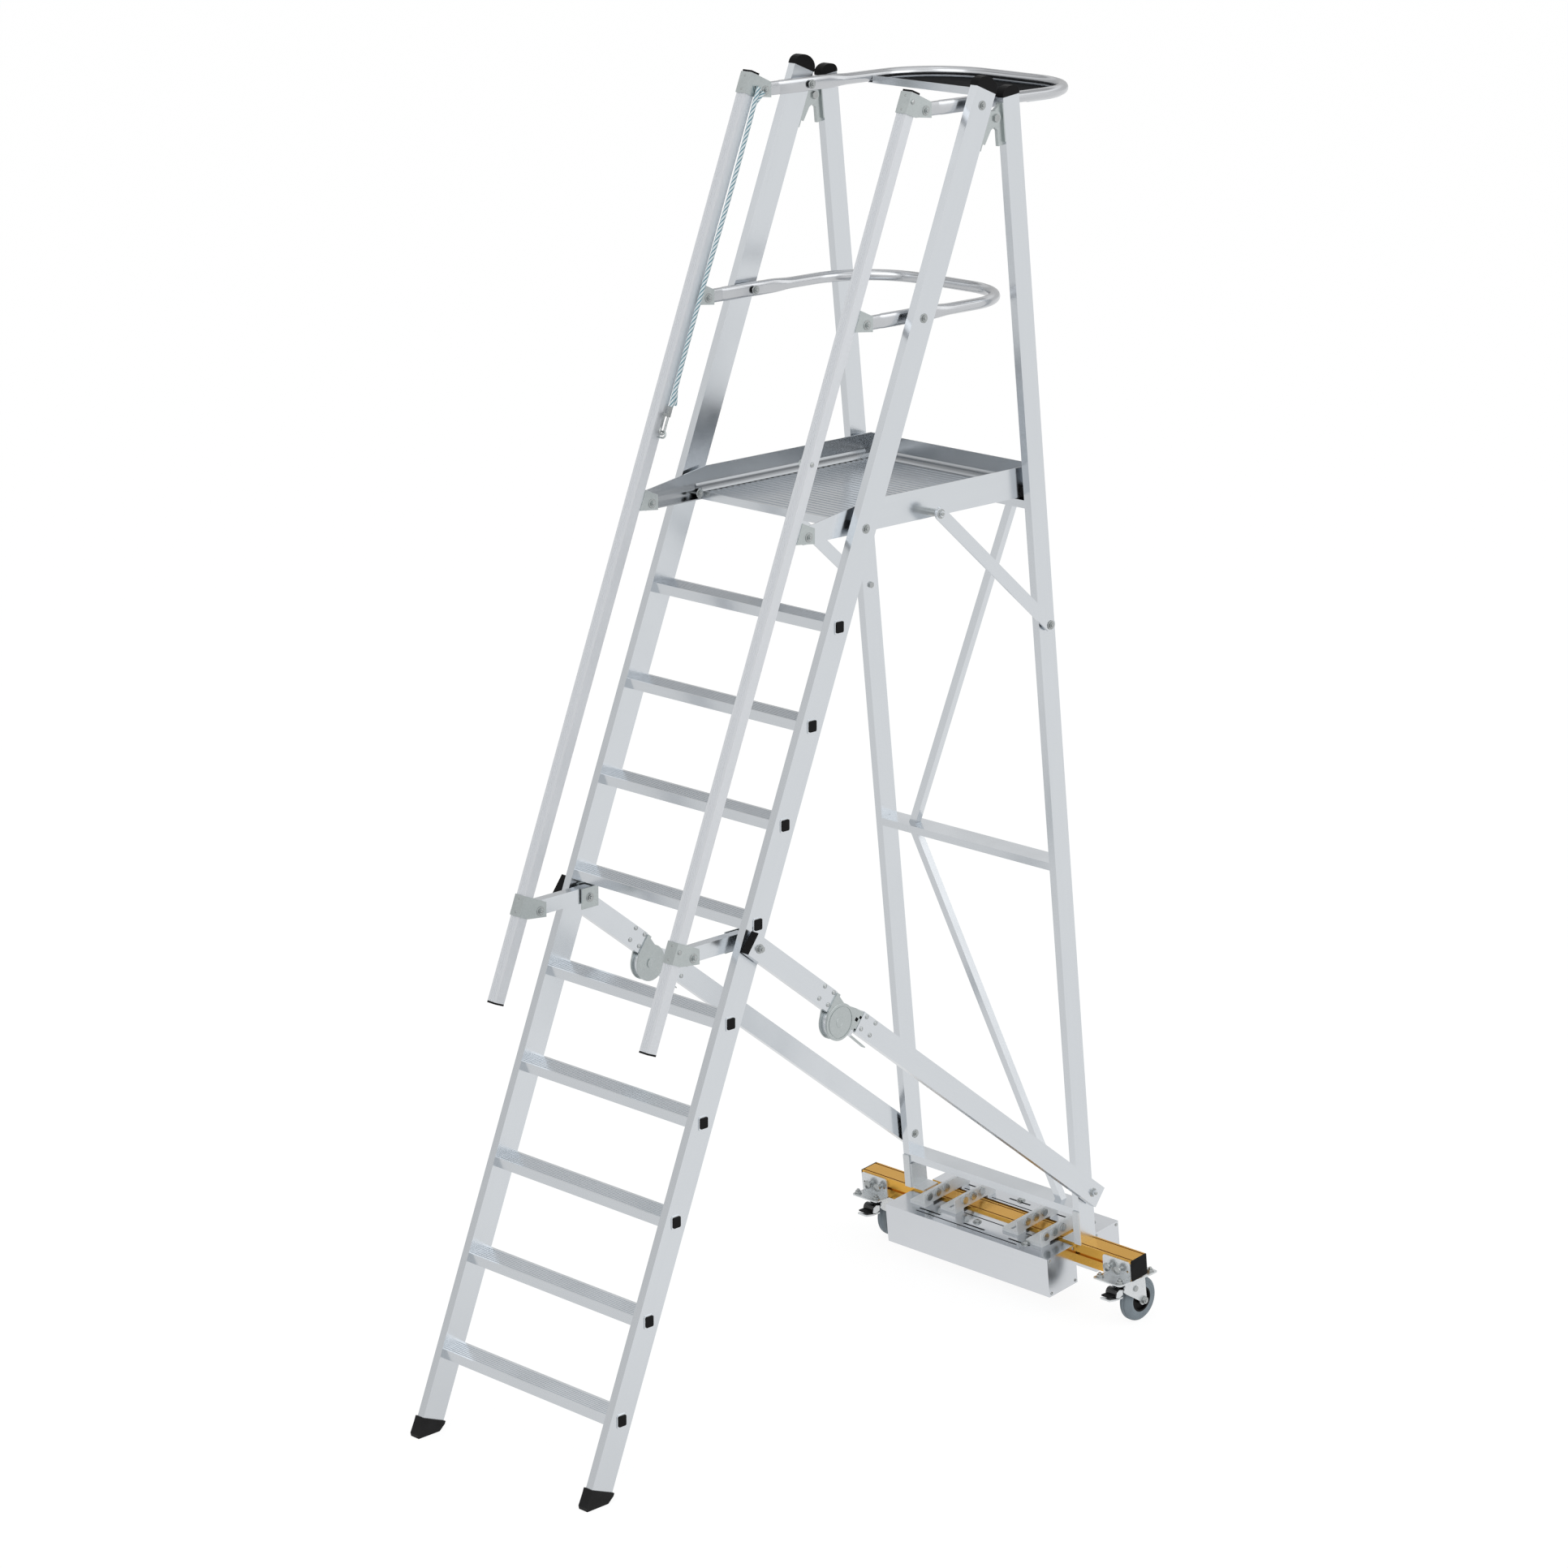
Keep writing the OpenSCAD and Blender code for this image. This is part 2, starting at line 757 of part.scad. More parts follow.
// Cross tube between the rear rails at a height of its middle
module cross_tube(z) {
    s = along_rear(rear_point(z));
    color(aluminium) placed() rear_axes() difference() {
        translate([-x_in, -rear_d / 2, s - tube_half]) cube([2 * x_in, rear_d, tube_h]);
        translate([-x_in - past, rail_wall - rear_d / 2, s - tube_half + rail_wall])
            cube([2 * (x_in + past), rear_d - 2 * rail_wall, tube_h - 2 * rail_wall]);
    }
}

module upper_tube() cross_tube(upper_tube_z);
module middle_tube() cross_tube(mid_tube_z);
module lower_tube() cross_tube(low_tube_z);

// Diagonal between two cross tubes, from one side low or high to the other
module brace(z0, x0, z1, x1) {
    s0 = along_rear(rear_point(z0)) + tube_half;
    s1 = along_rear(rear_point(z1)) - tube_half;
    lean = atan2(x1 - x0, s1 - s0);
    run = norm([x1 - x0, s1 - s0]);
    rear_axes() intersection() {
        translate([x0, 0, s0]) rotate([0, lean, 0])
            box_tube(-brace_w / 2, -brace_w / 2, -brace_w, [brace_w, brace_w, run + 2 * brace_w],
                rail_wall);
        translate([-x_in, -rear_d, s0]) cube([2 * x_in, 2 * rear_d, s1 - s0]);
    }
}

module braces() {
    color(aluminium) placed() {
        brace(mid_tube_z, -brace_low_x, upper_tube_z, brace_top_x);
        brace(low_tube_z, brace_top_x, mid_tube_z, -brace_low_x);
    }
}

// Bolts on the rear frame: struts' and spreaders' lower pivots
module rear_bolts() {
    head_r = bolt_r * 1.8;
    color(steel) placed() both() {
        hex(x_in - head_h, x_in, strut_low_p, head_r);
        pin(x_in, x_spread_in + strut_t + side_gap, strut_low_p, bolt_r);
        pin(x_out, x_spread_in, strut_low_p, bolt_r * 2);
        hex(x_spread_in + strut_t + 2 * side_gap, x_spread_in + strut_t + 2 * side_gap + head_h,
            strut_low_p, head_r);
        pin(x_spread_in + strut_t, x_spread_in + strut_t + 2 * side_gap, strut_low_p, bolt_r);
        hex(x_in - head_h, x_in, spread_rear_p, head_r);
        pin(x_in, x_out, spread_rear_p, bolt_r);
        pin(x_out, x_spread_in - side_gap, spread_rear_p, bolt_r * 2);
    }
}

// Plates that fix the rear rails on the beam
module leg_brackets() {
    bracket_h = 74;
    foot_w = 46;
    gusset_h = 100;
    color(galvanised) placed() both() rear_axes() {
        translate([x_in - plate_t, -rear_d / 2, beam_top]) cube([plate_t, rear_d, bracket_h]);
        translate([x_in - foot_w, -rear_d / 2, beam_top]) cube([foot_w - plate_t, rear_d, plate_t]);
        translate([x_in, -rear_d / 2 - plate_t, beam_top]) cube([rail_t, plate_t, gusset_h]);
    }
}

// Beam between the castors, with slots on each side
module beam() {
    half = [beam_d, beam_h] / 2;
    color(amber) placed() rear_axes() translate([0, beam_back, beam_low + beam_h / 2])
        across(-beam_len / 2, beam_len / 2) difference() {
            rect(-half, half);
            square(beam_core, center = true);
            for (s = [-1, 1]) {
                for (y = [-beam_slot_y, beam_slot_y])
                    translate([y, s * half.y])
                        square([beam_slot_w / 2, 2 * beam_slot_d], center = true);
                translate([s * half.x, 0]) square([2 * beam_slot_d, beam_slot_w], center = true);
            }
        }
}

// Angle with three knobs that clamps the boxes to the beam, with a slot near one end
module clamp_angle(x, y0, first_knob, slot_y) {
    pitch = 36;
    pad_l = 34;
    left = x - angle_w;
    difference() {
        union() {
            translate([left, y0, beam_top]) cube([angle_w, angle_end - y0, plate_t]);
            translate([x - plate_t, y0, beam_top]) cube([plate_t, angle_end - y0, angle_h]);
            translate([left, y0, front_box_top]) cube([angle_w, pad_l, front_box_drop]);
            translate([left, angle_end - pad_l, rear_box_top]) cube([angle_w, pad_l, rear_box_drop]);
        }
        translate([left + (angle_w - angle_slot.x) / 2, slot_y, beam_top - front_box_drop - rear_box_drop])
            cube([angle_slot.x, angle_slot.y, front_box_drop + rear_box_drop + plate_t + past]);
    }
    for (k = [0:2])
        pin(x, x + knob_t, [first_knob + k * pitch, beam_top + angle_h - knob_r - 2], knob_r);
}

module clamp_angles() {
    slot_in = 8;
    color(galvanised) placed() rear_axes() {
        for (x = outer_angle_x)
            clamp_angle(x, outer_angle_y, outer_angle_y + 16, angle_end - angle_slot.y - slot_in);
        for (x = inner_angle_x)
            clamp_angle(x, inner_angle_y, inner_angle_y + 38, inner_angle_y + slot_in);
    }
}

// Sheet box with slots in its top
module ballast_box(y, d, top, h) {
    difference() {
        translate([-box_w / 2, y, top - h]) cube([box_w, d, h]);
        translate([box_wall - box_w / 2, y + box_wall, top - h + box_wall])
            cube([box_w - 2 * box_wall, d - 2 * box_wall, h - 2 * box_wall]);
        for (x = box_slot_x)
            translate([x - box_slot_l / 2, y + d * 0.3, top - 2 * box_wall])
                cube([box_slot_l, box_slot_w, 4 * box_wall]);
    }
}

module front_ballast() {
    color(aluminium) placed() rear_axes()
        ballast_box(front_box_y, front_box_d, front_box_top, front_box_h);
}

module rear_ballast() {
    color(aluminium) placed() rear_axes()
        ballast_box(rear_box_y, rear_box_d, rear_box_top, rear_box_h);
}

// Angles under the beam that carry the castors, with the castors' plates and king pins
module castor_mounts() {
    plate_l = mount_front + mount_back;
    color(galvanised) placed() both() {
        difference() {
            translate([mount_x0, beam_y - mount_front, mount_z])
                linear_extrude(mount_t)
                    round_rect([0, 0], [mount_x1 - mount_x0, plate_l], mount_r);
            castor_bolt_holes();
        }
        across_front(mount_x0, mount_x1, beam_h - 1);
        difference() {
            translate([swivel_x - castor_bolt_x - mount_r, beam_y - castor_bolt_y - mount_r, castor_plate_z])
                linear_extrude(castor_plate_t)
                    round_rect([0, 0], 2 * [castor_bolt_x + mount_r, castor_bolt_y + mount_r], mount_r);
            castor_bolt_holes();
        }
    }
    color(galvanised) placed() for (s = [-1, 1]) side(s) translate([castor_x(s), beam_y, 0]) {
        translate([0, 0, crown_z - king_drop / 2])
            cylinder(r = king_r, h = castor_plate_z - crown_z + king_drop / 2);
        translate([0, 0, crown_z - king_drop])
            cylinder(r = king_head_r, h = king_drop - side_gap);
    }
}

// Upright plate of a castor's mount, on the beam's front
module across_front(x0, x1, h) {
    sunk = 2;
    rear_axes() translate([0, beam_front, beam_low - sunk]) rotate([90, 0, 0])
        linear_extrude(plate_t) difference() {
            round_rect([x0, 0], [x1, h], mount_r);
            for (x = [x0 + 12, x1 - 10]) translate([x, h / 2]) circle(3.5);
        }
}

// Holes of the bolts that hold a castor
module castor_bolt_holes() {
    for (dx = [-castor_bolt_x, castor_bolt_x])
        for (dy = [-castor_bolt_y, castor_bolt_y])
            translate([swivel_x + dx, beam_y + dy, castor_plate_z - past])
                cylinder(r = bolt_r, h = castor_plate_t + mount_t + 2 * past);
}

// Knobs on the castors' mounts and the bolts of the castors
module mount_knobs() {
    stem_r = 6;
    stem_l = 12;
    head_r = 12;
    color(steel) placed() both() {
        for (dx = [-castor_bolt_x, castor_bolt_x])
            for (dy = [-castor_bolt_y, castor_bolt_y])
                translate([swivel_x + dx, beam_y + dy, castor_plate_z]) {
                    cylinder(r = bolt_r, h = castor_plate_t + mount_t);
                    translate([0, 0, castor_plate_t + mount_t])
                        cylinder(r = bolt_r * 1.8, h = head_h * 1.6, $fn = 6);
                }
        rear_axes() for (dx = [-25, 13])
            translate([swivel_x + dx, beam_front - plate_t, beam_low + beam_h / 2])
                rotate([90, 0, 0]) {
                    cylinder(r = stem_r, h = stem_l);
                    translate([0, 0, stem_l]) cylinder(r = head_r, h = head_h);
                }
    }
}

// Deck with ribs across the platform
module deck() {
    y0 = platform_p.x + deck_front;
    y1 = toe_gap_y;
    pitch = (y1 - y0) / deck_ribs;
    color(aluminium) placed() across(-frame_in_x, frame_in_x) difference() {
        polygon(concat(
            [[y0, deck_z0]],
            [for (i = [0:deck_ribs - 1], q = [[0, 0], [0.6, 0], [0.6, -deck_rib_d], [1, -deck_rib_d]])
                [y0 + (i + q.x) * pitch, deck_top_z + q.y]],
            [[y1, deck_z0]]
        ));
        for (k = [0:4]) {
            room = (y1 - y0) / 5;
            rect([y0 + k * room + board_t, deck_z0 + board_t],
                [y0 + (k + 1) * room - board_t, deck_top_z - board_t - deck_rib_d]);
        }
    }
}

// Outline of a side board in distance and height
module board_outline() {
    tip = hand_bolt(platform_p).x - board_tip;
    polygon([
        [tip, deck_z0], [board_rear_y, deck_z0], [board_rear_y, deck_z0 + board_h],
        [platform_p.x + board_chamfer, deck_z0 + board_h], [tip, deck_z0 + board_tip_h]
    ]);
}

// Side of the platform: a box section with a toe board on its outer face
module toe_side(s) {
    tip = hand_bolt(platform_p).x - board_tip;
    color(aluminium) placed() side(s) difference() {
        union() {
            across(board_x - board_t, board_x) board_outline();
            across(frame_in_x, board_x - board_t) difference() {
                rect([tip, deck_z0], [toe_gap_y, deck_z0 + frame_h]);
                rect([tip + 2 * board_tip, deck_z0 + board_t],
                    [toe_gap_y - board_t, deck_z0 + frame_h - board_t]);
            }
        }
        for (p = [platform_p, hand_bolt(platform_p)])
            pin(frame_in_x - past, board_x + past, p, bolt_r + run_gap);
    }
}

module toe_left() toe_side(-1);
module toe_right() toe_side(1);

// Rear toe board with its box section
module toe_rear() {
    color(aluminium) placed() across(board_t - board_x, board_x - board_t) {
        rect([board_rear_y - board_t, deck_z0], [board_rear_y, deck_z0 + board_h]);
        difference() {
            rect([toe_gap_y, deck_z0], [board_rear_y - board_t, deck_z0 + frame_h]);
            rect([toe_gap_y + board_t, deck_z0 + board_t],
                [board_rear_y - 2 * board_t, deck_z0 + frame_h - board_t]);
        }
    }
}

// Spacer tubes that carry the struts' bolts beside the platform
module platform_spacers() {
    color(steel) placed() both() pin(board_x, x_spread_in, strut_top_p, spacer_r);
}

// Black glides between the platform's sides and the rails
module glides() {
    glide_t = hand_room / 2;
    color(black) placed() both() {
        across(board_x, board_x + glide_t) difference() {
            translate(platform_p) circle(glide_h / 2);
            translate(platform_p) circle(bolt_r + run_gap);
        }
        across(board_x, board_x + glide_t)
            rect([rear_point(platform_z).x - glide_h, deck_z0],
                [rear_point(platform_z).x + glide_h, deck_z0 + glide_h]);
    }
}

// Handrail section with grooves in its front face
module handrail(s) {
    groove = 1;
    color(aluminium) placed() side(s) difference() {
        ladder_axes() translate([0, hand_n, hand_low_t]) difference() {
            box_tube(x_hand_in, -hand_d / 2, 0, [hand_w, hand_d, hand_top_t - hand_low_t], hand_wall);
            for (dx = [-6, 0, 6])
                translate([x_hand + dx - groove, -hand_d / 2 - past, -past])
                    cube([2 * groove, past + groove * 0.6, hand_top_t - hand_low_t + 2 * past]);
        }
    }
}

module handrail_left() handrail(-1);
module handrail_right() handrail(1);

module handrail_caps() {
    color(black) placed() both() ladder_axes() for (t = [hand_top_t, hand_low_t - hand_cap_t])
        translate([x_hand_in, hand_n - hand_d / 2, t]) cube([hand_w, hand_d, hand_cap_t]);
}

// Clip on a handrail, with two ears and the bolt through them: an end clip goes round the handrail's front,
// and the others sit on its rear face
module clip(p) {
    bolt = hand_bolt(p);
    t = along_rail(bolt);
    n_front = hand_n - hand_d / 2;
    n_rear = hand_n + hand_d / 2;
    at_end = p == arm_p || p == top_p;
    head_r = bolt_r * 1.6;
    color(galvanised) {
        difference() {
            union() {
                ladder_axes()
                    translate([x_hand_in - clip_t, at_end ? n_front - clip_t : n_rear, t - clip_h / 2])
                        cube([hand_w + 2 * clip_t, clip_t, clip_h]);
                for (x = [x_hand_in - clip_t, x_hand_out]) across(x, x + clip_t)
                    polygon(concat(
                        at_end ? [for (k = [-1, 1]) rail_place(n_front, t + k * clip_h / 2)] : [],
                        [
                            rail_place(n_rear, t + clip_h / 2),
                            bolt + [ear_reach, ear_half], bolt + [ear_reach, -ear_half],
                            rail_place(n_rear, t - clip_h / 2)
                        ]
                    ));
            }
            pin(x_hand_in - 2 * clip_t, x_hand_out + 2 * clip_t, bolt, bolt_r);
        }
    }
    color(steel) {
        pin(x_hand_in - clip_t, x_hand_out + clip_t, bolt, bolt_r);
        hex(x_hand_out + clip_t, x_hand_out + clip_t + head_h, bolt, head_r);
        hex(x_hand_in - clip_t - head_h, x_hand_in - clip_t, bolt, head_r);
    }
}

// Staple for the rope's hook on a handrail's inner face, with its upper leg in the hook's bow
module rope_eye() {
    color(steel) ladder_axes() translate([x_hand_in - eye_leg, rope_n - hook_bow, eye_t + hook_bow - eye_r]) {
        for (t = [-eye_r, eye_r])
            translate([0, 0, t]) rotate([0, 90, 0]) cylinder(r = eye_wire, h = eye_leg);
        rotate([-90, 90, 0]) rotate_extrude(angle = 180) translate([eye_r, 0]) circle(eye_wire);
    }
}

// Clips, their bolts, the hook's eyes and the lug that the rope hangs from
module handrail_clips() {
    placed() both() {
        for (p = ladder_pivots) clip(p);
        rope_eye();
    }
    color(galvanised) placed() ladder_axes()
        translate([-x_hand_in + clip_t, rope_n - rope_d / 2, rope_top_t])
            cube([rope_d + past, rope_d, lug_t]);
}

// Guardrail tube round three sides, from the pivots' side
module hoop(p, reach, r, over = 0) {
    run = reach - hoop_r;
    end = arm_len + hoop_end + over;
    bend_x = x_hand - hoop_r;
    translate([0, p.x, p.y]) {
        both() {
            translate([x_hand, -end, 0]) rotate([-90, 0, 0]) cylinder(r = r, h = run + end);
            translate([bend_x, run, 0]) rotate_extrude(angle = 90) translate([hoop_r, 0]) circle(r);
        }
        translate([-bend_x, reach, 0]) rotate([0, 90, 0]) cylinder(r = r, h = 2 * bend_x);
    }
}

// Guardrail with bores for the pivots on the ladder and on the handrails
module guardrail(p, reach) {
    color(aluminium) placed() difference() {
        hoop(p, reach, hoop_r_out);
        hoop(p, reach, hoop_r_out - hoop_wall, past);
        both() for (q = [p, hand_bolt(p)]) pin(x_hand_in - past, x_in, q, bolt_r + run_gap);
    }
}

module top_hoop() guardrail(top_p, top_reach);
module middle_hoop() guardrail(mid_p, mid_reach);

// Tray under the rear of the top guardrail, with an upstand in front
module hoop_tray() {
    tray_t = 2;
    front = top_reach - tray_d;
    z = top_z - hoop_r_out - tray_t;
    bend_x = x_hand - hoop_r;
    color(aluminium) placed() translate([0, top_p.x, z]) {
        linear_extrude(tray_t) {
            rect([-x_hand, front], [x_hand, top_reach - hoop_r]);
            rect([-bend_x, top_reach - hoop_r], [bend_x, top_reach]);
            for (x = [-bend_x, bend_x]) translate([x, top_reach - hoop_r]) intersection() {
                circle(hoop_r);
                rect([-hoop_r, 0], [hoop_r, hoop_r]);
            }
        }
        translate([past + hoop_r_out - x_hand, front, tray_t])
            cube([2 * (x_hand - hoop_r_out - past), tray_t, tray_h]);
    }
}

// Lower arm between a handrail's clip and the ladder's bracket
module arm(s) {
    bolt = hand_bolt(arm_p);
    half = arm_h / 2;
    gap = 3;
    color(aluminium) placed() side(s) difference() {
        across(x_hand_in + gap, x_hand_out - gap)
            round_rect(bolt + [-arm_end, arm_up - half], arm_p + [arm_end, arm_up + half], arm_end / 2);
        across(x_hand_in + gap + arm_wall, x_hand_out - gap - arm_wall)
            rect(bolt + [arm_end, arm_up + arm_wall - half], arm_p + [-arm_end, arm_up + half - arm_wall]);
        for (p = [bolt, arm_p]) pin(x_hand_in, x_hand_out, p, bolt_r + run_gap);
    }
}

module arm_left() arm(-1);
module arm_right() arm(1);

// Flat strut under the platform, with the upper bolt's head on it
module strut(s) {
    x0 = x_spread_in + side_gap;
    x1 = x0 + strut_t - side_gap;
    run = strut_low_p - strut_top_p;
    turn = 12;
    color(aluminium) placed() side(s) {
        difference() {
            across(x0, x1) translate(strut_top_p) rotate(atan2(run.y, run.x))
                polygon(concat(
                    [for (a = [90:turn:270]) strut_w / 2 * [cos(a), sin(a)]],
                    [for (a = [-90:turn:90]) [norm(run), 0] + strut_w / 2 * [cos(a), sin(a)]]
                ));
            pin(x0 - past, x1 + past, strut_low_p, bolt_r + run_gap);
        }
        hex(x1, x1 + head_h, strut_top_p, bolt_r * 1.8);
    }
}

module strut_left() strut(-1);
module strut_right() strut(1);

// Spreader tube between two distances along it
module spreader_tube(u0, u1) {
    difference() {
        translate([x_spread_in, u0, -spread_half]) cube([spread_t, u1 - u0, spread_h]);
        translate([x_spread_in + spread_wall, u0 - past, spread_wall - spread_half])
            cube([spread_t - 2 * spread_wall, u1 - u0 + 2 * past, spread_h - 2 * spread_wall]);
    }
}

// Rivets on both faces of a spreader, at distances from the lock hinge
module rivets(way) {
    for (a = way < 0 ? rivet_front : rivet_rear) for (b = rivet_up) {
        p = lock_p + [way * a, b];
        pin(x_spread_in - rivet_h, x_spread_in, p, rivet_r);
        pin(x_spread_out, x_spread_out + rivet_h, p, rivet_r);
    }
}

// Front piece of a spreader, from the ladder to the lock
module spreader_front(s) {
    color(aluminium) placed() side(s) spread_axes() {
        difference() {
            spreader_tube(-spread_front_over, lock_along - lock_near);
            pin(x_spread_in - past, x_spread_out + past, [0, 0], bolt_r + run_gap);
        }
        rivets(-1);
    }
}

module spreader_front_left() spreader_front(-1);
module spreader_front_right() spreader_front(1);

// Rear piece of a spreader with the plate that turns between the lock's discs
module spreader_rear(s) {
    plate_half = core_half - side_gap;
    tail = lock_along + lock_far;
    end = spread_len + spread_rear_over;
    color(aluminium) placed() side(s) spread_axes() {
        difference() {
            union() {
                spreader_tube(tail, end);
                across(x_spread_in + spread_wall, x_spread_out - spread_wall)
                    rect([tail, spread_wall - spread_half], [tail + core_len, spread_half - spread_wall]);
                translate([x_spread_in + spread_wall, end - spread_wall, spread_wall - spread_half])
                    cube([2 * core_half, spread_wall, spread_h - 2 * spread_wall]);
                across(x_spread - plate_half, x_spread + plate_half) lock_plate();
                for (x = [x_spread - plate_half, x_spread + lever_half + side_gap])
                    across(x, x + plate_half - lever_half - side_gap) lever_lug();
                pin(x_spread - plate_half, x_spread + plate_half, lock_p + lever_p, lever_pin_r);
                rivets(1);
                hex(x_spread_out, x_spread_out + 2 * head_h, [spread_len, 0], bolt_r * 1.8);
            }
            pin(x_spread_in, x_spread_out, lock_p, lock_pin_r + run_gap);
        }
    }
}

module spreader_rear_left() spreader_rear(-1);
module spreader_rear_right() spreader_rear(1);

// Outline of the plate that turns between the discs
module lock_plate() {
    difference() {
        translate(lock_p) {
            circle(shield_r);
            polygon([
                [0, shield_r], [lock_far / 2, lock_below + spread_half - 6],
                [lock_far, lock_below + spread_half - spread_wall],
                [lock_far, lock_below - spread_half + spread_wall],
                [lock_far * 0.75, lock_below - spread_half + spread_wall - 2],
                [shield_r * cos(40), -shield_r * sin(40)]
            ]);
        }
        translate(lock_p + lever_p) circle(lug_r + shield_clear);
    }
}

// Lug that holds a lever's pin
module lever_lug() {
    translate(lock_p + lever_p) {
        circle(lug_r);
        polygon([[-lug_r, 0], [-lug_r, lug_r * 2], [lug_r, lug_r * 2.6], [lug_r, 0]]);
    }
}

module spreader_caps() {
    cap_t = 5;
    color(black) placed() both() spread_axes()
        translate([x_spread_in, -spread_front_over - cap_t, -spread_half])
            cube([spread_t, cap_t, spread_h]);
}

// Two discs with the wedge that sits in the front tube, and the lock's pin
module lock_discs() {
    tip = lock_along - lock_near;
    color(galvanised) placed() both() spread_axes() {
        for (x = [x_spread - core_half - lock_t, x_spread + core_half]) across(x, x + lock_t)
            difference() {
                union() {
                    translate(lock_p) circle(lock_r);
                    polygon([
                        [tip, spread_half - 4], [tip, -spread_half + 4],
                        lock_p + [-lock_r * cos(30), -lock_r * sin(30)],
                        lock_p + [-lock_r * sin(20), lock_r * cos(20)]
                    ]);
                }
                translate(lock_p) circle(lock_pin_r);
            }
        across(x_spread - core_half, x_spread + core_half) difference() {
            rect([tip - core_len, spread_wall - spread_half],
                [tip + lock_near / 3, spread_half - spread_wall]);
            translate(lock_p) circle(shield_r + shield_clear);
        }
        pin(x_spread - core_half - lock_t, x_spread + core_half + lock_t, lock_p, lock_pin_r);
        for (x = [x_spread - core_half - lock_t - rivet_h, x_spread + core_half + lock_t])
            pin(x, x + rivet_h, lock_p, lock_pin_r * 2);
    }
}

// Release lever under the rear piece of a spreader
module lever(s) {
    droop = 3;
    color(galvanised) placed() side(s) spread_axes() difference() {
        union() {
            pin(x_spread - lever_half, x_spread + lever_half, lock_p + lever_p, lever_r);
            translate([0, lock_p.x + lever_p.x, lock_p.y + lever_p.y]) rotate([-droop, 0, 0])
                across(x_spread - lever_half, x_spread + lever_half)
                    rect([0, -lever_t], [lever_l, 0]);
        }
        pin(x_spread - lever_half - past, x_spread + lever_half + past, lock_p + lever_p,
            lever_pin_r + run_gap);
    }
}

module lever_left() lever(-1);
module lever_right() lever(1);

// Castor fork: crown, two legs, axle and the pedal's pin
module fork(s) {
    axle = [axle_y, axle_z];
    color(galvanised) placed() side(s) translate([castor_x(s), 0, 0]) {
        difference() {
            union() {
                translate([-fork_in - fork_t, beam_y - fork_root, crown_z])
                    cube([2 * (fork_in + fork_t), 2 * fork_root, crown_t]);
                for (x = [-fork_in - fork_t, fork_in]) across(x, x + fork_t) {
                    translate(axle) circle(fork_r);
                    polygon([
                        [beam_y - fork_root, crown_z], pedal_p + [-pedal_r, pedal_r * 2.4],
                        pedal_p + [-pedal_r * 2, 0], pedal_p + [0, -pedal_r * 2],
                        axle - [fork_r, 0], axle + [fork_r, 0], [beam_y + fork_root, crown_z]
                    ]);
                }
            }
            translate([0, beam_y, crown_z - past])
                cylinder(r = king_r + run_gap, h = crown_t + 2 * past);
        }
        pin(-fork_in - fork_t - head_h, fork_in + fork_t + head_h, axle, axle_r);
        pin(-fork_in - fork_t, fork_in + fork_t, pedal_p, pedal_r / 2);
    }
}

module fork_left() fork(-1);
module fork_right() fork(1);

// Tyre with a rounded tread
module tyre(s) {
    shoulder = 9;
    half = wheel_w / 2;
    color(grey_rubber) placed() side(s) translate([castor_x(s), axle_y, axle_z]) rotate([0, 90, 0])
        rotate_extrude() {
            rect([hub_r, shoulder - half], [axle_z, half - shoulder]);
            rect([hub_r, -half], [axle_z - shoulder, half]);
            for (z = [shoulder - half, half - shoulder]) translate([axle_z - shoulder, z]) circle(shoulder);
        }
}

module tyre_left() tyre(-1);
module tyre_right() tyre(1);

// Wheel hub with a dished face and the bore for its axle
module hub(s) {
    dish = 7;
    rim = 5;
    boss_r = 13;
    half = wheel_w / 2;
    color(black) placed() side(s) translate([castor_x(s), axle_y, axle_z]) rotate([0, 90, 0])
        rotate_extrude() {
            rect([axle_r + run_gap, -hub_half], [boss_r, hub_half]);
            rect([boss_r - past, dish - half], [hub_r - past, half - dish]);
            rect([hub_r - rim, -half], [hub_r, half]);
        }
}

module hub_left() hub(-1);
module hub_right() hub(1);

// Brake pedal in front of a castor: an arm, a black roll and a tongue
module pedal(s) {
    tongue_t = 4;
    arm_t = 7;
    color(black) placed() side(s) translate([castor_x(s), 0, 0]) difference() {
        union() {
            pin(-pedal_half, pedal_half, pedal_p, pedal_r);
            across(-pedal_half * 0.6, pedal_half * 0.6)
                polygon([
                    pedal_p + [0, arm_t / 2], pedal_p - [0, arm_t / 2],
                    pedal_roll_p - [0, arm_t / 2], pedal_roll_p + [0, arm_t / 2]
                ]);
            pin(-pedal_half, pedal_half, pedal_roll_p, pedal_roll_r);
            across(-pedal_half * 0.8, pedal_half * 0.8)
                rect(pedal_roll_p - [pedal_roll_r + pedal_tongue, tongue_t],
                    pedal_roll_p);
        }
        pin(-pedal_half - past, pedal_half + past, pedal_p, pedal_r / 2 + run_gap);
    }
}

module pedal_left() pedal(-1);
module pedal_right() pedal(1);

// Rope: a tube swept along its route on the left handrail's inner side
rope_route = [
    for (i = [0:rope_steps])
        let(f = i / rope_steps)
        [rope_x, rope_n + rope_sway * sin(360 * f), rope_top_t + (rope_low_t - rope_top_t) * f]
];
rope_points = [
    for (c = rope_route, k = [0:rope_sides - 1])
        c + rope_r * [cos(360 * k / rope_sides), sin(360 * k / rope_sides), 0]
];
rope_faces = concat(
    [[for (k = [0:rope_sides - 1]) k]],
    [for (i = [0:rope_steps - 1], k = [0:rope_sides - 1], h = [0, 1])
        let(a = i * rope_sides + k)
        let(b = i * rope_sides + (k + 1) % rope_sides)
        h == 0 ? [a, a + rope_sides, b + rope_sides] : [a, b + rope_sides, b]],
    [[for (k = [0:rope_sides - 1]) rope_steps * rope_sides + rope_sides - 1 - k]]
);

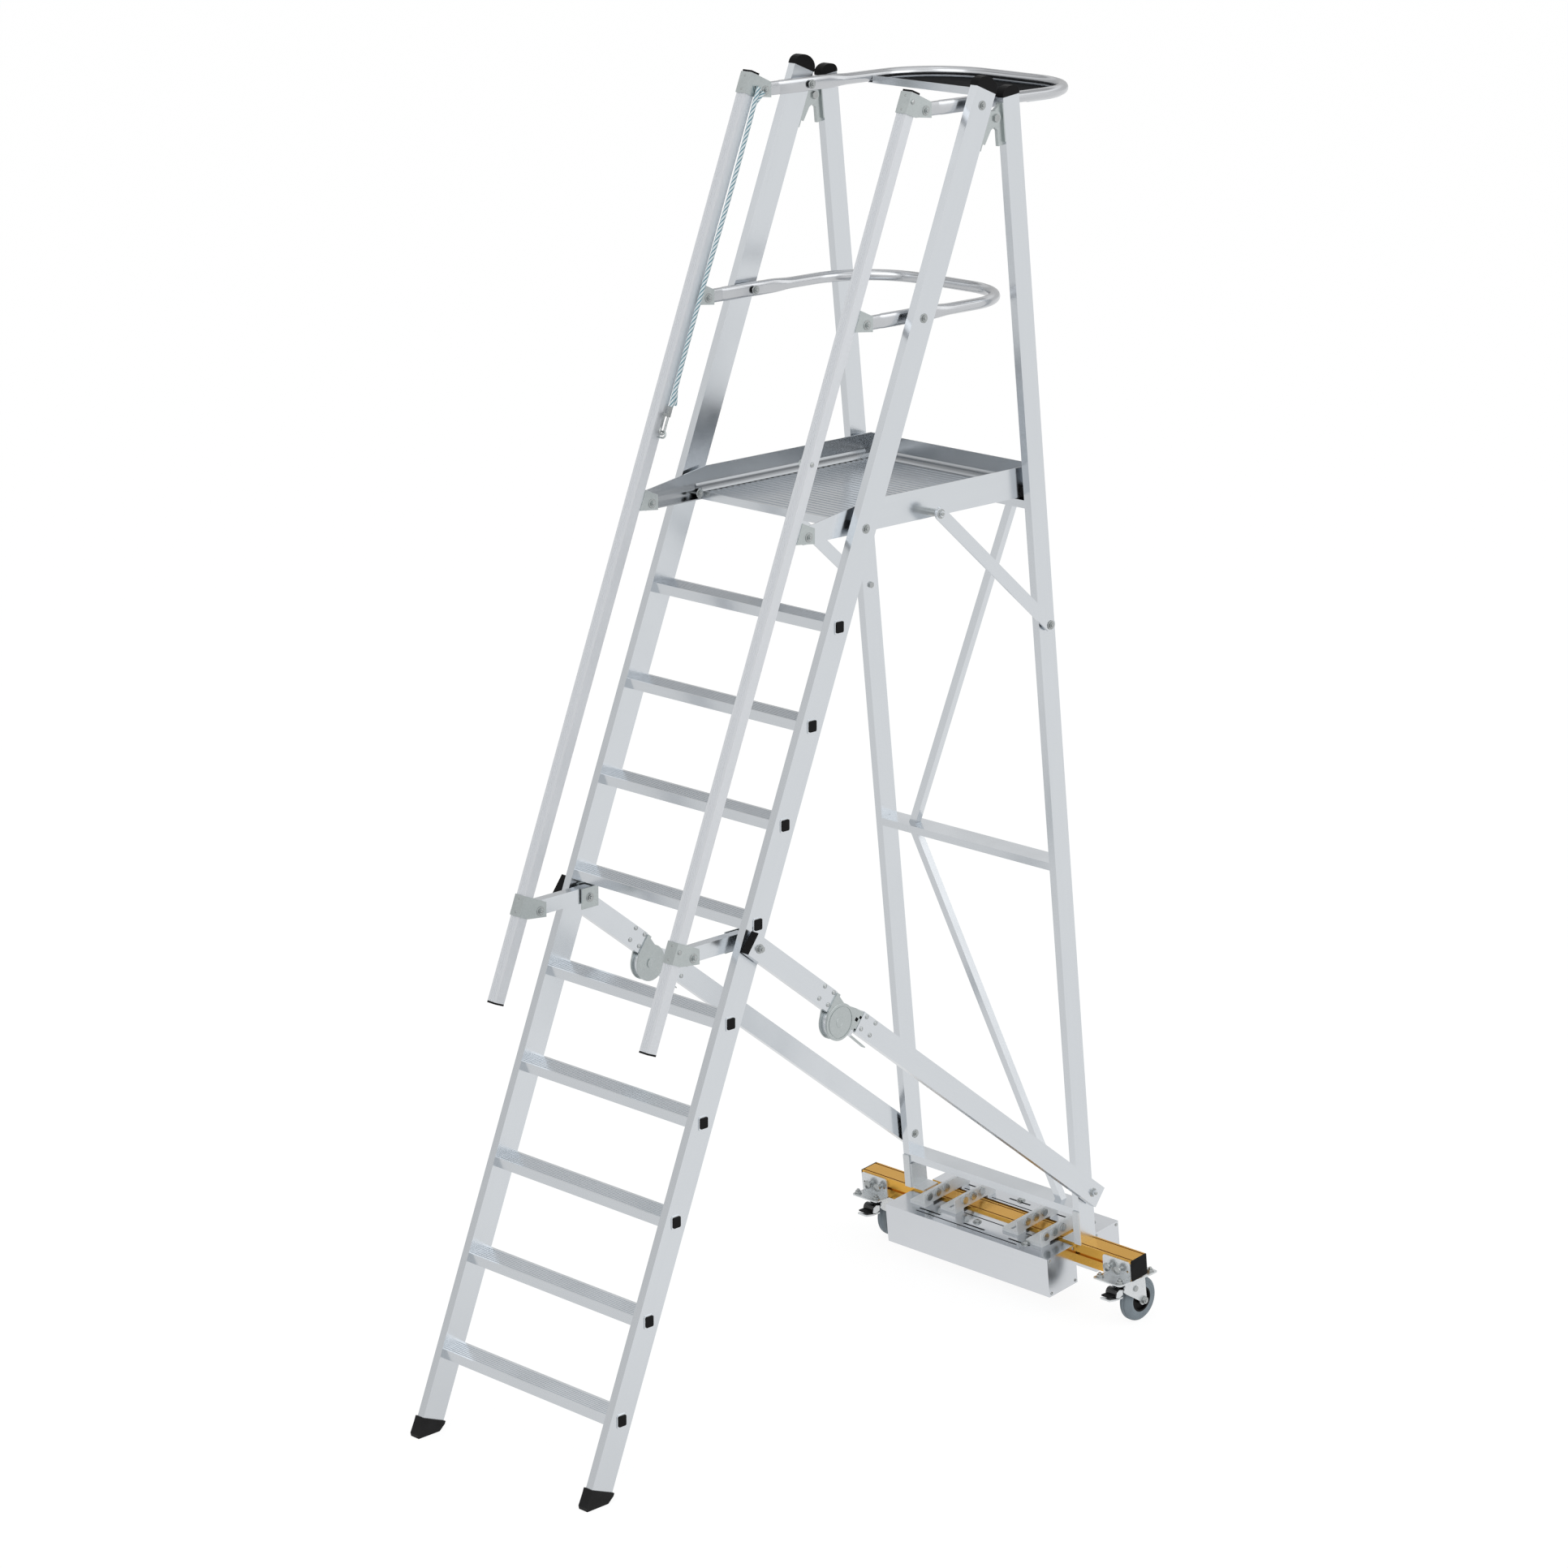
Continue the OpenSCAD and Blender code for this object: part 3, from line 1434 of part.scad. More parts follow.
module rope() {
    color(rope_white) placed() ladder_axes() polyhedron(rope_points, rope_faces);
}

// Snap hook at the rope's lower end: a spine, a bow, a nose and two cheeks for the gate's pin
module snap_hook() {
    cheek = hook_bar / 2 - gate_half - side_gap;
    pivot = [2 * hook_bow, gate_pivot];
    color(steel) placed() ladder_axes() translate([rope_x, rope_n, eye_t]) mirror([0, 1, 0]) {
        translate([0, 0, hook_bow]) cylinder(r = hook_wire, h = gate_pivot - hook_bow);
        translate([0, hook_bow, hook_bow]) rotate([0, 90, 0])
            rotate([0, 0, -90]) rotate_extrude(angle = 180) translate([hook_bow, 0]) circle(hook_wire);
        translate([0, 2 * hook_bow, hook_bow]) cylinder(r = hook_wire, h = hook_bow);
        across(-hook_bar / 2, hook_bar / 2)
            rect([-hook_bar / 2, gate_pivot - gate_eye_r], [hook_bar, hook_len]);
        for (x = [-hook_bar / 2, hook_bar / 2 - cheek]) across(x, x + cheek)
            rect([hook_bar, pivot.y - gate_eye_r], pivot + [gate_eye_r, gate_eye_r]);
        pin(-hook_bar / 2, hook_bar / 2, pivot, gate_pin_r);
    }
}

// Sprung gate that closes the snap hook
module snap_gate() {
    pivot = [2 * hook_bow, gate_pivot];
    color(steel) placed() ladder_axes() translate([rope_x, rope_n, eye_t]) mirror([0, 1, 0]) difference() {
        union() {
            pin(-gate_half, gate_half, pivot, gate_eye_r);
            across(-gate_half, gate_half)
                rect([pivot.x - gate_half, 2 * hook_bow + side_gap], pivot + [gate_half, 0]);
        }
        pin(-hook_bar, hook_bar, pivot, gate_pin_r + run_gap);
    }
}

ladder_rail_left();
ladder_rail_right();
treads();
tread_plugs();
feet();
ladder_caps();
ladder_brackets();
ladder_bolts();
rear_rail_left();
rear_rail_right();
rear_caps();
rear_hinge_plates();
upper_tube();
middle_tube();
lower_tube();
braces();
rear_bolts();
leg_brackets();
beam();
clamp_angles();
front_ballast();
rear_ballast();
castor_mounts();
mount_knobs();
deck();
toe_left();
toe_right();
toe_rear();
platform_spacers();
glides();
handrail_left();
handrail_right();
handrail_caps();
handrail_clips();
top_hoop();
hoop_tray();
middle_hoop();
arm_left();
arm_right();
strut_left();
strut_right();
spreader_front_left();
spreader_front_right();
spreader_rear_left();
spreader_rear_right();
spreader_caps();
lock_discs();
lever_left();
lever_right();
fork_left();
fork_right();
tyre_left();
tyre_right();
hub_left();
hub_right();
pedal_left();
pedal_right();
rope();
snap_hook();
snap_gate();
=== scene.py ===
"""Looks of a podium step: a folding platform ladder with handrails, guardrails and a castor beam.

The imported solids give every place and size. This script dresses them with finishes, adds the small
pieces that show in the picture, and sets the camera and the light. All lengths are in metres.
"""

import logging
import math
from dataclasses import dataclass
from enum import Enum
from functools import cache
from typing import ClassVar

import bmesh
import bpy
import numpy as np
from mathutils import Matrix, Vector


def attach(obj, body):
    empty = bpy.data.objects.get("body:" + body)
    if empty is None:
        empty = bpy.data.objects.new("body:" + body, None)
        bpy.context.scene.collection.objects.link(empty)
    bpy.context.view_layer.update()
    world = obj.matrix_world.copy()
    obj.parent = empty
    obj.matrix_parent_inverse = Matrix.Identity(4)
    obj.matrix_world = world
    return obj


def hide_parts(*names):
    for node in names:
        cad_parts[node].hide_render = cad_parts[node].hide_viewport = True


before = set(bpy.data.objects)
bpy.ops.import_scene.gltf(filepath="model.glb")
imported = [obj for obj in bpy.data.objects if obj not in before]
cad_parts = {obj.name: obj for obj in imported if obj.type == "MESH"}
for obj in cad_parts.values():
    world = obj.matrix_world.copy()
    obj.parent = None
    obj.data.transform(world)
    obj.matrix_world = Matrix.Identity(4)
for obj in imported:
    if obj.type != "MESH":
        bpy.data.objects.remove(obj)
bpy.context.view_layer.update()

LOG = logging.getLogger("podium_step")
X_AXIS, Y_AXIS, Z_AXIS = np.eye(3)
TURN = 2.0 * np.pi
WHITE = (1.0, 1.0, 1.0, 1.0)

Array = np.ndarray
Pair = tuple[float, float]
Triple = tuple[float, float, float]
RGB = Triple
Profile = list[Pair]
Node = bpy.types.Node
Socket = bpy.types.NodeSocket
Tree = bpy.types.NodeTree


@dataclass(frozen=True)
class Place:
    """Axes that a piece is drawn in: a point and three directions."""

    at: Array
    u: Array
    v: Array
    w: Array

    def points(self, u: Array, v: Array, w: Array) -> Array:
        """Points from distances along the three directions.

        Args:
            u: Distances along the first.
            v: Distances along the second.
            w: Distances along the third.

        Returns:
            The points, in the shape that the distances share.
        """
        u, v, w = (np.asarray(a, float)[..., None] for a in np.broadcast_arrays(u, v, w))
        return self.at + u * self.u + v * self.v + w * self.w

    def facing(self, direction: str) -> "Place":
        """Turn the axes so that the first direction is the one named.

        Args:
            direction: +u, -u, +v, -v, +w or -w.

        Returns:
            The turned axes at the same point.
        """
        way = -1.0 if direction[0] == "-" else 1.0
        turned = {"u": (self.u, self.v, self.w),
                  "v": (self.v, self.w, self.u),
                  "w": (self.w, self.u, self.v)}
        first, second, third = turned[direction[1]]
        return Place(self.at, way * first, second, way * third)


@dataclass(frozen=True)
class Layout:
    """Sizes and places that the small pieces share with the solids, in metres and degrees."""

    rail_angle: float = 68.0
    rear_lean: float = 6.8
    y_shift: float = -0.9932897
    x_out: float = 0.334
    x_in: float = 0.311
    x_hand_out: float = 0.300
    arm_len: float = 0.173
    arm_z: float = 1.356
    platform_z: float = 2.367
    mid_z: float = 2.877
    top_z: float = 3.393
    rear_foot: float = 1.8850790
    spread_drop: float = 37.5791
    spread_len: float = 1.6332
    strut_s: float = 2.0152
    spread_s: float = 0.36255

    def rail_axes(self) -> tuple[Array, Array]:
        """Return the directions behind and along the ladder rail."""
        a = math.radians(self.rail_angle)
        return np.array([0, math.sin(a), -math.cos(a)]), np.array([0, math.cos(a), math.sin(a)])

    def rail_y(self, z: float) -> float:
        """Distance of the rail's centreline behind the ladder's foot at a height."""
        return z / math.tan(math.radians(self.rail_angle))

    def along_rail(self, y: float, z: float) -> float:
        """Distance of a point along the rail, from its distances behind the foot and above the floor."""
        a = math.radians(self.rail_angle)
        return y * math.cos(a) + z * math.sin(a)

    def rail(self, x: float, n: float, t: float) -> Place:
        """Axes at a place on the ladder: right, behind the rail's line and along it."""
        behind, along = self.rail_axes()
        return Place(np.array([x, self.y_shift, 0]) + n * behind + t * along, X_AXIS, behind, along)

    def rear(self, x: float, m: float, s: float) -> Place:
        """Axes at a place on the rear frame: right, behind and along its rail.

        Args:
            x: Distance to the right of the middle.
            m: Distance behind the rail's line.
            s: Distance along the rail from its foot.

        Returns:
            The axes.
        """
        a = math.radians(self.rear_lean)
        behind, along = np.array([0, math.cos(a), math.sin(a)]), np.array([0, -math.sin(a), math.cos(a)])
        start = np.array([x, self.rear_foot + self.y_shift, 0.0])
        return Place(start + m * behind + s * along, X_AXIS, behind, along)

    def level(self, x: float, y: float, z: float) -> Place:
        """Axes at a place measured from the ladder's foot: right, back and up."""
        return Place(np.array([x, y + self.y_shift, z]), X_AXIS, Y_AXIS, Z_AXIS)

    def pivot(self, x: float, z: float, back: float = 0.0) -> Place:
        """Level axes at a height on the rail's line, or at a distance behind it."""
        return self.level(x, self.rail_y(z) + back, z)

    def spread(self, x: float, along: float, below: float) -> Place:
        """Axes at a place on a spreader: right, along it and up from it.

        Args:
            x: Distance to the right of the middle.
            along: Distance along the spreader from its front pivot.
            below: Distance below its line.

        Returns:
            The axes.
        """
        a = math.radians(self.spread_drop)
        run = np.array([0, math.cos(a), -math.sin(a)])
        up = np.array([0, math.sin(a), math.cos(a)])
        return Place(self.pivot(x, self.arm_z).at + along * run - below * up, X_AXIS, run, up)


LAYOUT = Layout()


class Grain(Enum):
    """Direction that a metal was drawn or rolled in, as turns about X and Z in degrees."""

    RAIL = (LAYOUT.rail_angle - 90.0, 0.0)
    REAR = (LAYOUT.rear_lean, 0.0)
    ACROSS = (90.0, 90.0)
    LEVEL = (90.0, 0.0)
    SPREADER = (52.4, 0.0)
    PLAIN = (0.0, 0.0)


def linear(colour: RGB) -> tuple[float, float, float, float]:
    """Turn a colour as seen on a screen, 0 to 255, into the shader's values.

    Args:
        colour: Red, green and blue as on a screen.

    Returns:
        The linear colour with full alpha.
    """
    c = np.array(colour) / 255.0
    out = np.where(c <= 0.04045, c / 12.92, ((c + 0.055) / 1.055) ** 2.4)
    return (*out.tolist(), 1.0)


def weighted(tree: Tree, vector: Socket, weights: Triple) -> Socket:
    """Weighted sum of a vector's three numbers.

    Args:
        tree: Tree that the node goes into.
        vector: The vector.
        weights: A weight for each of its numbers.

    Returns:
        The sum.
    """
    node = tree.nodes.new("ShaderNodeVectorMath")
    node.operation = "DOT_PRODUCT"
    node.inputs[1].default_value = weights
    tree.links.new(vector, node.inputs[0])
    return node.outputs["Value"]


def reckoned(tree: Tree, operation: str, value: Socket, number: float = 0.0) -> Socket:
    """Carry a value through one step of arithmetic.

    Args:
        tree: Tree that the node goes into.
        operation: The step.
        value: The value.
        number: The second number of the step, where it has one.

    Returns:
        The new value.
    """
    node = tree.nodes.new("ShaderNodeMath")
    node.operation = operation
    node.inputs[1].default_value = number
    tree.links.new(value, node.inputs[0])
    return node.outputs[0]


class Effects:
    """Shader node groups that several finishes use, each made once."""

    @staticmethod
    def _group(name: str, inputs: dict[str, float], output: str) -> Tree:
        """Start a node group with a vector, its number inputs and its number output.

        Args:
            name: Name of the group.
            inputs: Names and default values of the numbers that go in.
            output: Name of the number that comes out.

        Returns:
            The group with its input and output nodes.
        """
        tree = bpy.data.node_groups.new(name, "ShaderNodeTree")
        tree.interface.new_socket("Vector", in_out="INPUT", socket_type="NodeSocketVector")
        for key, value in inputs.items():
            socket = tree.interface.new_socket(key, in_out="INPUT", socket_type="NodeSocketFloat")
            socket.default_value = value
        tree.interface.new_socket(output, in_out="OUTPUT", socket_type="NodeSocketFloat")
        tree.nodes.new("NodeGroupInput").name = "In"
        tree.nodes.new("NodeGroupOutput").name = "Out"
        return tree

    @staticmethod
    def _pattern(tree: Tree, kind: str, detail: float | None = None) -> Node:
        """Add a pattern that reads the group's vector and scale.

        Args:
            tree: The group.
            kind: Kind of the pattern's node.
            detail: Its detail, where it has one.

        Returns:
            The pattern's node.
        """
        node = tree.nodes.new(kind)
        if detail is not None:
            node.inputs["Detail"].default_value = detail
        for key in ("Vector", "Scale"):
            tree.links.new(tree.nodes["In"].outputs[key], node.inputs[key])
        return node

    @classmethod
    @cache
    def drawn_lines(cls) -> Tree:
        """Fine lines along Z: noise on coordinates that are stretched along Z.

        Returns:
            The group, with the lines as a value of 0 to 1.
        """
        tree = cls._group("drawn_lines", {"Scale": 900.0, "Stretch": 0.004}, "Lines")
        source = tree.nodes["In"].outputs
        split = tree.nodes.new("ShaderNodeSeparateXYZ")
        join = tree.nodes.new("ShaderNodeCombineXYZ")
        squeeze = tree.nodes.new("ShaderNodeMath")
        squeeze.operation = "MULTIPLY"
        noise = cls._pattern(tree, "ShaderNodeTexNoise", 2.0)
        for start, end in ((source["Vector"], split.inputs[0]), (split.outputs["X"], join.inputs["X"]),
                           (split.outputs["Y"], join.inputs["Y"]), (split.outputs["Z"], squeeze.inputs[0]),
                           (source["Stretch"], squeeze.inputs[1]), (squeeze.outputs[0], join.inputs["Z"]),
                           (join.outputs[0], noise.inputs["Vector"]),
                           (noise.outputs["Fac"], tree.nodes["Out"].inputs["Lines"])):
            tree.links.new(start, end)
        return tree

    @classmethod
    @cache
    def cloudy_marks(cls) -> Tree:
        """Slow soft marks of handling: noise with some detail, spread to nearly the whole range.

        Returns:
            The group, with the marks as a value of 0 to 1.
        """
        tree = cls._group("cloudy_marks", {"Scale": 9.0}, "Marks")
        spread = tree.nodes.new("ShaderNodeMapRange")
        spread.inputs["From Min"].default_value = 0.32
        spread.inputs["From Max"].default_value = 0.68
        noise = cls._pattern(tree, "ShaderNodeTexNoise", 4.0)
        tree.links.new(noise.outputs["Fac"], spread.inputs["Value"])
        tree.links.new(spread.outputs["Result"], tree.nodes["Out"].inputs["Marks"])
        return tree

    @classmethod
    @cache
    def zinc_flakes(cls) -> Tree:
        """Patches of zinc crystals: the random tone of Voronoi cells.

        Returns:
            The group, with the tone as a value of 0 to 1.
        """
        tree = cls._group("zinc_flakes", {"Scale": 260.0}, "Tone")
        tone = tree.nodes.new("ShaderNodeSeparateColor")
        tree.links.new(cls._pattern(tree, "ShaderNodeTexVoronoi").outputs["Color"], tone.inputs[0])
        tree.links.new(tone.outputs[0], tree.nodes["Out"].inputs["Tone"])
        return tree

    @classmethod
    @cache
    def moulded_grain(cls) -> Tree:
        """Fine pebbled skin of moulded plastic and rubber: small round noise.

        Returns:
            The group, with the height as a value of 0 to 1.
        """
        tree = cls._group("moulded_grain", {"Scale": 1400.0}, "Height")
        noise = cls._pattern(tree, "ShaderNodeTexNoise", 1.0)
        tree.links.new(noise.outputs["Fac"], tree.nodes["Out"].inputs["Height"])
        return tree


class Material:
    """A node material that is being wired: the tree, its shader and the coordinates it reads."""

    def __init__(self, name: str) -> None:
        """Start an empty material with a Principled shader.

        Args:
            name: Name of the material.
        """
        self.data = bpy.data.materials.new(name)
        self.data.use_nodes = True
        self.tree = self.data.node_tree
        self.tree.nodes.clear()
        self.shader = self.tree.nodes.new("ShaderNodeBsdfPrincipled")
        output = self.tree.nodes.new("ShaderNodeOutputMaterial")
        self.link(self.shader.outputs[0], output.inputs["Surface"])
        self.coords = self.tree.nodes.new("ShaderNodeTexCoord").outputs["Object"]

    def link(self, source: Socket, target: Socket) -> None:
        """Join an output to an input."""
        self.tree.links.new(source, target)

    def put(self, **values: float) -> None:
        """Set plain numbers on the shader, each named as its socket with _ for a space."""
        for key, value in values.items():
            self.shader.inputs[key.replace("_", " ")].default_value = value

    def turned(self, grain: Grain) -> Socket:
        """Return the coordinates turned so that Z runs along the grain.

        Args:
            grain: Direction of the grain.

        Returns:
            The turned coordinates.
        """
        node = self.tree.nodes.new("ShaderNodeMapping")
        node.vector_type = "TEXTURE"
        about_x, about_z = grain.value
        node.inputs["Rotation"].default_value = (math.radians(about_x), 0.0, math.radians(about_z))
        self.link(self.coords, node.inputs["Vector"])
        return node.outputs[0]

    def effect(self, tree: Tree, scale: float, vector: Socket | None = None) -> Socket:
        """Place a shared effect.

        Args:
            tree: The effect's node group.
            scale: How fine it is.
            vector: Coordinates that it reads, or none for the piece's own.

        Returns:
            The effect's output.
        """
        node = self.tree.nodes.new("ShaderNodeGroup")
        node.node_tree = tree
        node.inputs["Scale"].default_value = scale
        self.link(vector or self.coords, node.inputs["Vector"])
        return node.outputs[0]

    def ranged(self, source: Socket, low: float, high: float) -> Socket:
        """Spread a 0 to 1 value over a range.

        Args:
            source: The value.
            low: What 0 becomes.
            high: What 1 becomes.

        Returns:
            The spread value.
        """
        node = self.tree.nodes.new("ShaderNodeMapRange")
        node.inputs["To Min"].default_value = low
        node.inputs["To Max"].default_value = high
        self.link(source, node.inputs["Value"])
        return node.outputs["Result"]

    def colour_mix(self, blend: str = "MIX") -> tuple[Socket, list[Socket], Socket]:
        """Add a mix of two colours.

        Args:
            blend: How the two are mixed.

        Returns:
            The mix's factor, its two colours and what comes out.
        """
        node = self.tree.nodes.new("ShaderNodeMix")
        node.data_type = "RGBA"
        node.blend_type = blend
        colours = [s for s in node.inputs if s.type == "RGBA"]
        return node.inputs["Factor"], colours, [s for s in node.outputs if s.type == "RGBA"][0]

    def between(self, source: Socket, low: tuple[float, ...], high: tuple[float, ...]) -> Socket:
        """Mix two colours by a value.

        Args:
            source: The value, 0 to 1.
            low: Colour at 0.
            high: Colour at 1.

        Returns:
            The mixed colour.
        """
        factor, colours, mixed = self.colour_mix()
        colours[0].default_value = low
        colours[1].default_value = high
        self.link(source, factor)
        return mixed

    def bumped(self, height: Socket, strength: float, distance: float) -> None:
        """Feed a height into the shader's normal.

        Args:
            height: The height, 0 to 1.
            strength: How much of it counts.
            distance: Depth of the full height.
        """
        node = self.tree.nodes.new("ShaderNodeBump")
        node.inputs["Strength"].default_value = strength
        node.inputs["Distance"].default_value = distance
        self.link(height, node.inputs["Height"])
        self.link(node.outputs[0], self.shader.inputs["Normal"])


@dataclass(frozen=True)
class Finish:
    """What every finish has: its own name, the record's slot that it belongs to and its colour."""

    name: str
    slot: str
    colour: RGB
    dark: ClassVar[RGB] = (1.0, 1.0, 1.0)
    light: ClassVar[float] = 1.0
    rough: ClassVar[Pair] = (0.0, 0.0)

    def material(self) -> bpy.types.Material:
        """Make the finish's material once.

        Returns:
            The material.
        """
        if self.name not in bpy.data.materials:
            self.wire(Material(self.name))
        return bpy.data.materials[self.name]

    def wire(self, made: Material) -> None:
        """Set the shader's values and join the effects to it."""
        made.shader.inputs["Base Color"].default_value = linear(self.colour)

    def tinted(self, made: Material, mask: Socket) -> None:
        """Let the colour follow a mask, from its dark shares at 0 to its light share at 1.

        Args:
            made: The material.
            mask: The mask.
        """
        colour = np.array(linear(self.colour))
        low = tuple(colour * np.array([*self.dark, 1.0]))
        high = tuple(np.minimum(colour * self.light, 1.0))
        made.link(made.between(mask, low, high), made.shader.inputs["Base Color"])

    def dulled(self, made: Material, marks: Socket, roughness: float) -> None:
        """Let the roughness follow marks, between two steps from its own value.

        Args:
            made: The material.
            marks: The marks, 0 to 1.
            roughness: The finish's own roughness.
        """
        low, high = self.rough
        ranged = made.ranged(marks, roughness + low, roughness + high)
        made.link(ranged, made.shader.inputs["Roughness"])


@dataclass(frozen=True)
class DrawnMetal(Finish):
    """Extruded or rolled metal with fine lines along its length."""

    grain: Grain = Grain.PLAIN
    metallic: float = 1.0
    roughness: float = 0.2
    depth: float = 0.00001
    dark: ClassVar[RGB] = (0.95, 0.95, 0.95)
    light: ClassVar[float] = 1.03
    rough: ClassVar[Pair] = (-0.03, 0.05)
    line_scale: ClassVar[float] = 1100.0
    mark_scale: ClassVar[float] = 7.0
    line_strength: ClassVar[float] = 0.35

    def wire(self, made: Material) -> None:
        """Let lines along the grain vary the colour a little and the normal, and marks the roughness.

        Args:
            made: The material.
        """
        made.put(Metallic=self.metallic)
        lines = made.effect(Effects.drawn_lines(), self.line_scale, made.turned(self.grain))
        marks = made.effect(Effects.cloudy_marks(), self.mark_scale)
        self.tinted(made, lines)
        self.dulled(made, marks, self.roughness)
        made.bumped(lines, self.line_strength, self.depth)


@dataclass(frozen=True)
class BoardMetal(DrawnMetal):
    """Drawn metal with painted shade that darkens its inner faces, and not its outermost face."""

    weights: Triple = (1.0, 0.0, 0.0)
    outer: float = 0.298
    # painted shade: share of the colour left on the inner faces
    painted_shade: float = 0.6

    def wire(self, made: Material) -> None:
        """Darken the colour as painted shade, ending where the distance from the middle along the weights
        passes the outer one.

        Args:
            made: The material.
        """
        super().wire(made)
        base = made.shader.inputs["Base Color"]
        drawn = base.links[0].from_socket
        distance = reckoned(made.tree, "ABSOLUTE", weighted(made.tree, made.coords, self.weights))
        outside = reckoned(made.tree, "GREATER_THAN", distance, self.outer)
        # painted shade: the drawn colour times the shade share inside the outer face
        factor, colours, mixed = made.colour_mix("MULTIPLY")
        factor.default_value = 1.0
        made.link(drawn, colours[0])
        made.link(made.ranged(outside, self.painted_shade, 1.0), colours[1])
        made.link(mixed, base)


@dataclass(frozen=True)
class ZincMetal(Finish):
    """Zinc plated sheet with faint crystals."""

    metallic: float = 0.95
    roughness: float = 0.32
    flake: float = 260.0
    dark: ClassVar[RGB] = (0.96, 0.97, 0.97)
    light: ClassVar[float] = 1.04
    rough: ClassVar[Pair] = (-0.06, 0.08)
    mark_scale: ClassVar[float] = 24.0

    def wire(self, made: Material) -> None:
        """Let cells vary the colour, and slow marks dull some places.

        Args:
            made: The material.
        """
        made.put(Metallic=self.metallic)
        marks = made.effect(Effects.cloudy_marks(), self.mark_scale)
        self.tinted(made, made.effect(Effects.zinc_flakes(), self.flake))
        self.dulled(made, marks, self.roughness)


@dataclass(frozen=True)
class Moulded(Finish):
    """Moulded plastic or rubber with a fine pebbled skin."""

    roughness: float = 0.45
    pebble: float = 1400.0
    depth: float = 0.00012
    specular: float = 0.25
    dark: ClassVar[RGB] = (0.82, 0.82, 0.82)
    rough: ClassVar[Pair] = (0.06, -0.04)
    mark_scale: ClassVar[float] = 30.0
    pebble_strength: ClassVar[float] = 0.4

    def wire(self, made: Material) -> None:
        """Let fine grain lift the normal, and slow marks vary the colour and the roughness.

        Args:
            made: The material.
        """
        made.put(Specular_IOR_Level=self.specular)
        marks = made.effect(Effects.cloudy_marks(), self.mark_scale)
        self.tinted(made, marks)
        self.dulled(made, marks, self.roughness)
        made.bumped(made.effect(Effects.moulded_grain(), self.pebble), self.pebble_strength, self.depth)


@dataclass(frozen=True)
class Twisted(Finish):
    """Rope yarns: pale strands with coloured ones between, by the piece's own strand attribute."""

    second: RGB = (84, 142, 158)
    yarn_scale: ClassVar[float] = 2200.0
    yarn_strength: ClassVar[float] = 0.5
    yarn_depth: ClassVar[float] = 0.0003

    def wire(self, made: Material) -> None:
        """Let the strand attribute pick the colour, and a fine grain give the yarns.

        Args:
            made: The material.
        """
        attribute = made.tree.nodes.new("ShaderNodeAttribute")
        attribute.attribute_name = "strand"
        colour = made.between(attribute.outputs["Fac"], linear(self.colour), linear(self.second))
        made.link(colour, made.shader.inputs["Base Color"])
        made.put(Roughness=0.75, Sheen_Weight=0.2)
        height = made.effect(Effects.moulded_grain(), self.yarn_scale)
        made.bumped(height, self.yarn_strength, self.yarn_depth)


ALUMINIUM = (213, 217, 221)
RAIL_METAL = DrawnMetal("rail_aluminium", "aluminium", ALUMINIUM, Grain.RAIL)
HAND_METAL = DrawnMetal("handrail_aluminium", "aluminium", (225, 228, 232), Grain.RAIL, 0.45, 0.5)
REAR_METAL = DrawnMetal("rear_aluminium", "aluminium", ALUMINIUM, Grain.REAR)
CROSS_METAL = DrawnMetal("cross_aluminium", "aluminium", ALUMINIUM, Grain.ACROSS)
SIDE_METAL = DrawnMetal("side_aluminium", "aluminium", ALUMINIUM, Grain.LEVEL)
# Painted shade darkens the boards' inner faces and the deck ledges; their outer faces keep the plain
# colour.
BOARD_METAL = BoardMetal("board_aluminium", "aluminium", ALUMINIUM, Grain.LEVEL)
REAR_BOARD = BoardMetal("rear_board_aluminium", "aluminium", ALUMINIUM, Grain.ACROSS,
                        weights=(0.0, 1.0, 0.0), outer=0.6378, painted_shade=0.72)
SPREAD_METAL = DrawnMetal("spreader_aluminium", "aluminium", ALUMINIUM, Grain.SPREADER)
TUBE_METAL = DrawnMetal("tube_aluminium", "aluminium", (197, 199, 202), Grain.PLAIN, depth=0.000003)
BOX_METAL = DrawnMetal("box_sheet", "sheet_steel", (211, 214, 218), Grain.ACROSS, 1.0, 0.17)
BEAM_METAL = DrawnMetal("amber_anodised", "amber_beam", (226, 172, 74), Grain.ACROSS, 0.85, 0.25)
ZINC = ZincMetal("zinc_plate", "galvanised", (184, 190, 190))
PALE_ZINC = ZincMetal("pale_zinc", "galvanised", (222, 225, 227), 0.65, 0.25, 420.0)
DULL_ZINC = ZincMetal("dull_zinc", "galvanised", (228, 231, 233), 0.3, 0.5, 420.0)
BRIGHT = ZincMetal("bright_zinc", "fasteners", (172, 175, 175), 0.95, 0.25, 500.0)
BLACK = Moulded("black_moulded", "black_plastic", (22, 22, 23), 0.42, 1400.0, 0.00008, 0.08)
SHINY_BLACK = Moulded("shiny_black", "black_plastic", (16, 17, 18), 0.16, 1400.0, 0.00002, 0.6)
# painted shade: dark matt finish for the tray, the ballast seams and the lock's detents, where only shade
# falls
SHADOW = Moulded("dark_gap", "black_plastic", (26, 27, 29), 0.8, 1400.0, 0.00002, 0.05)
RUBBER = Moulded("foot_moulded", "foot_rubber", (25, 25, 26), 0.6, 900.0, 0.00012, 0.2)
TYRE_RUBBER = Moulded("tyre_moulded", "grey_tyre", (146, 158, 166), 0.5, 1100.0)
YARN = Twisted("rope_yarn", "rope", (236, 244, 247))

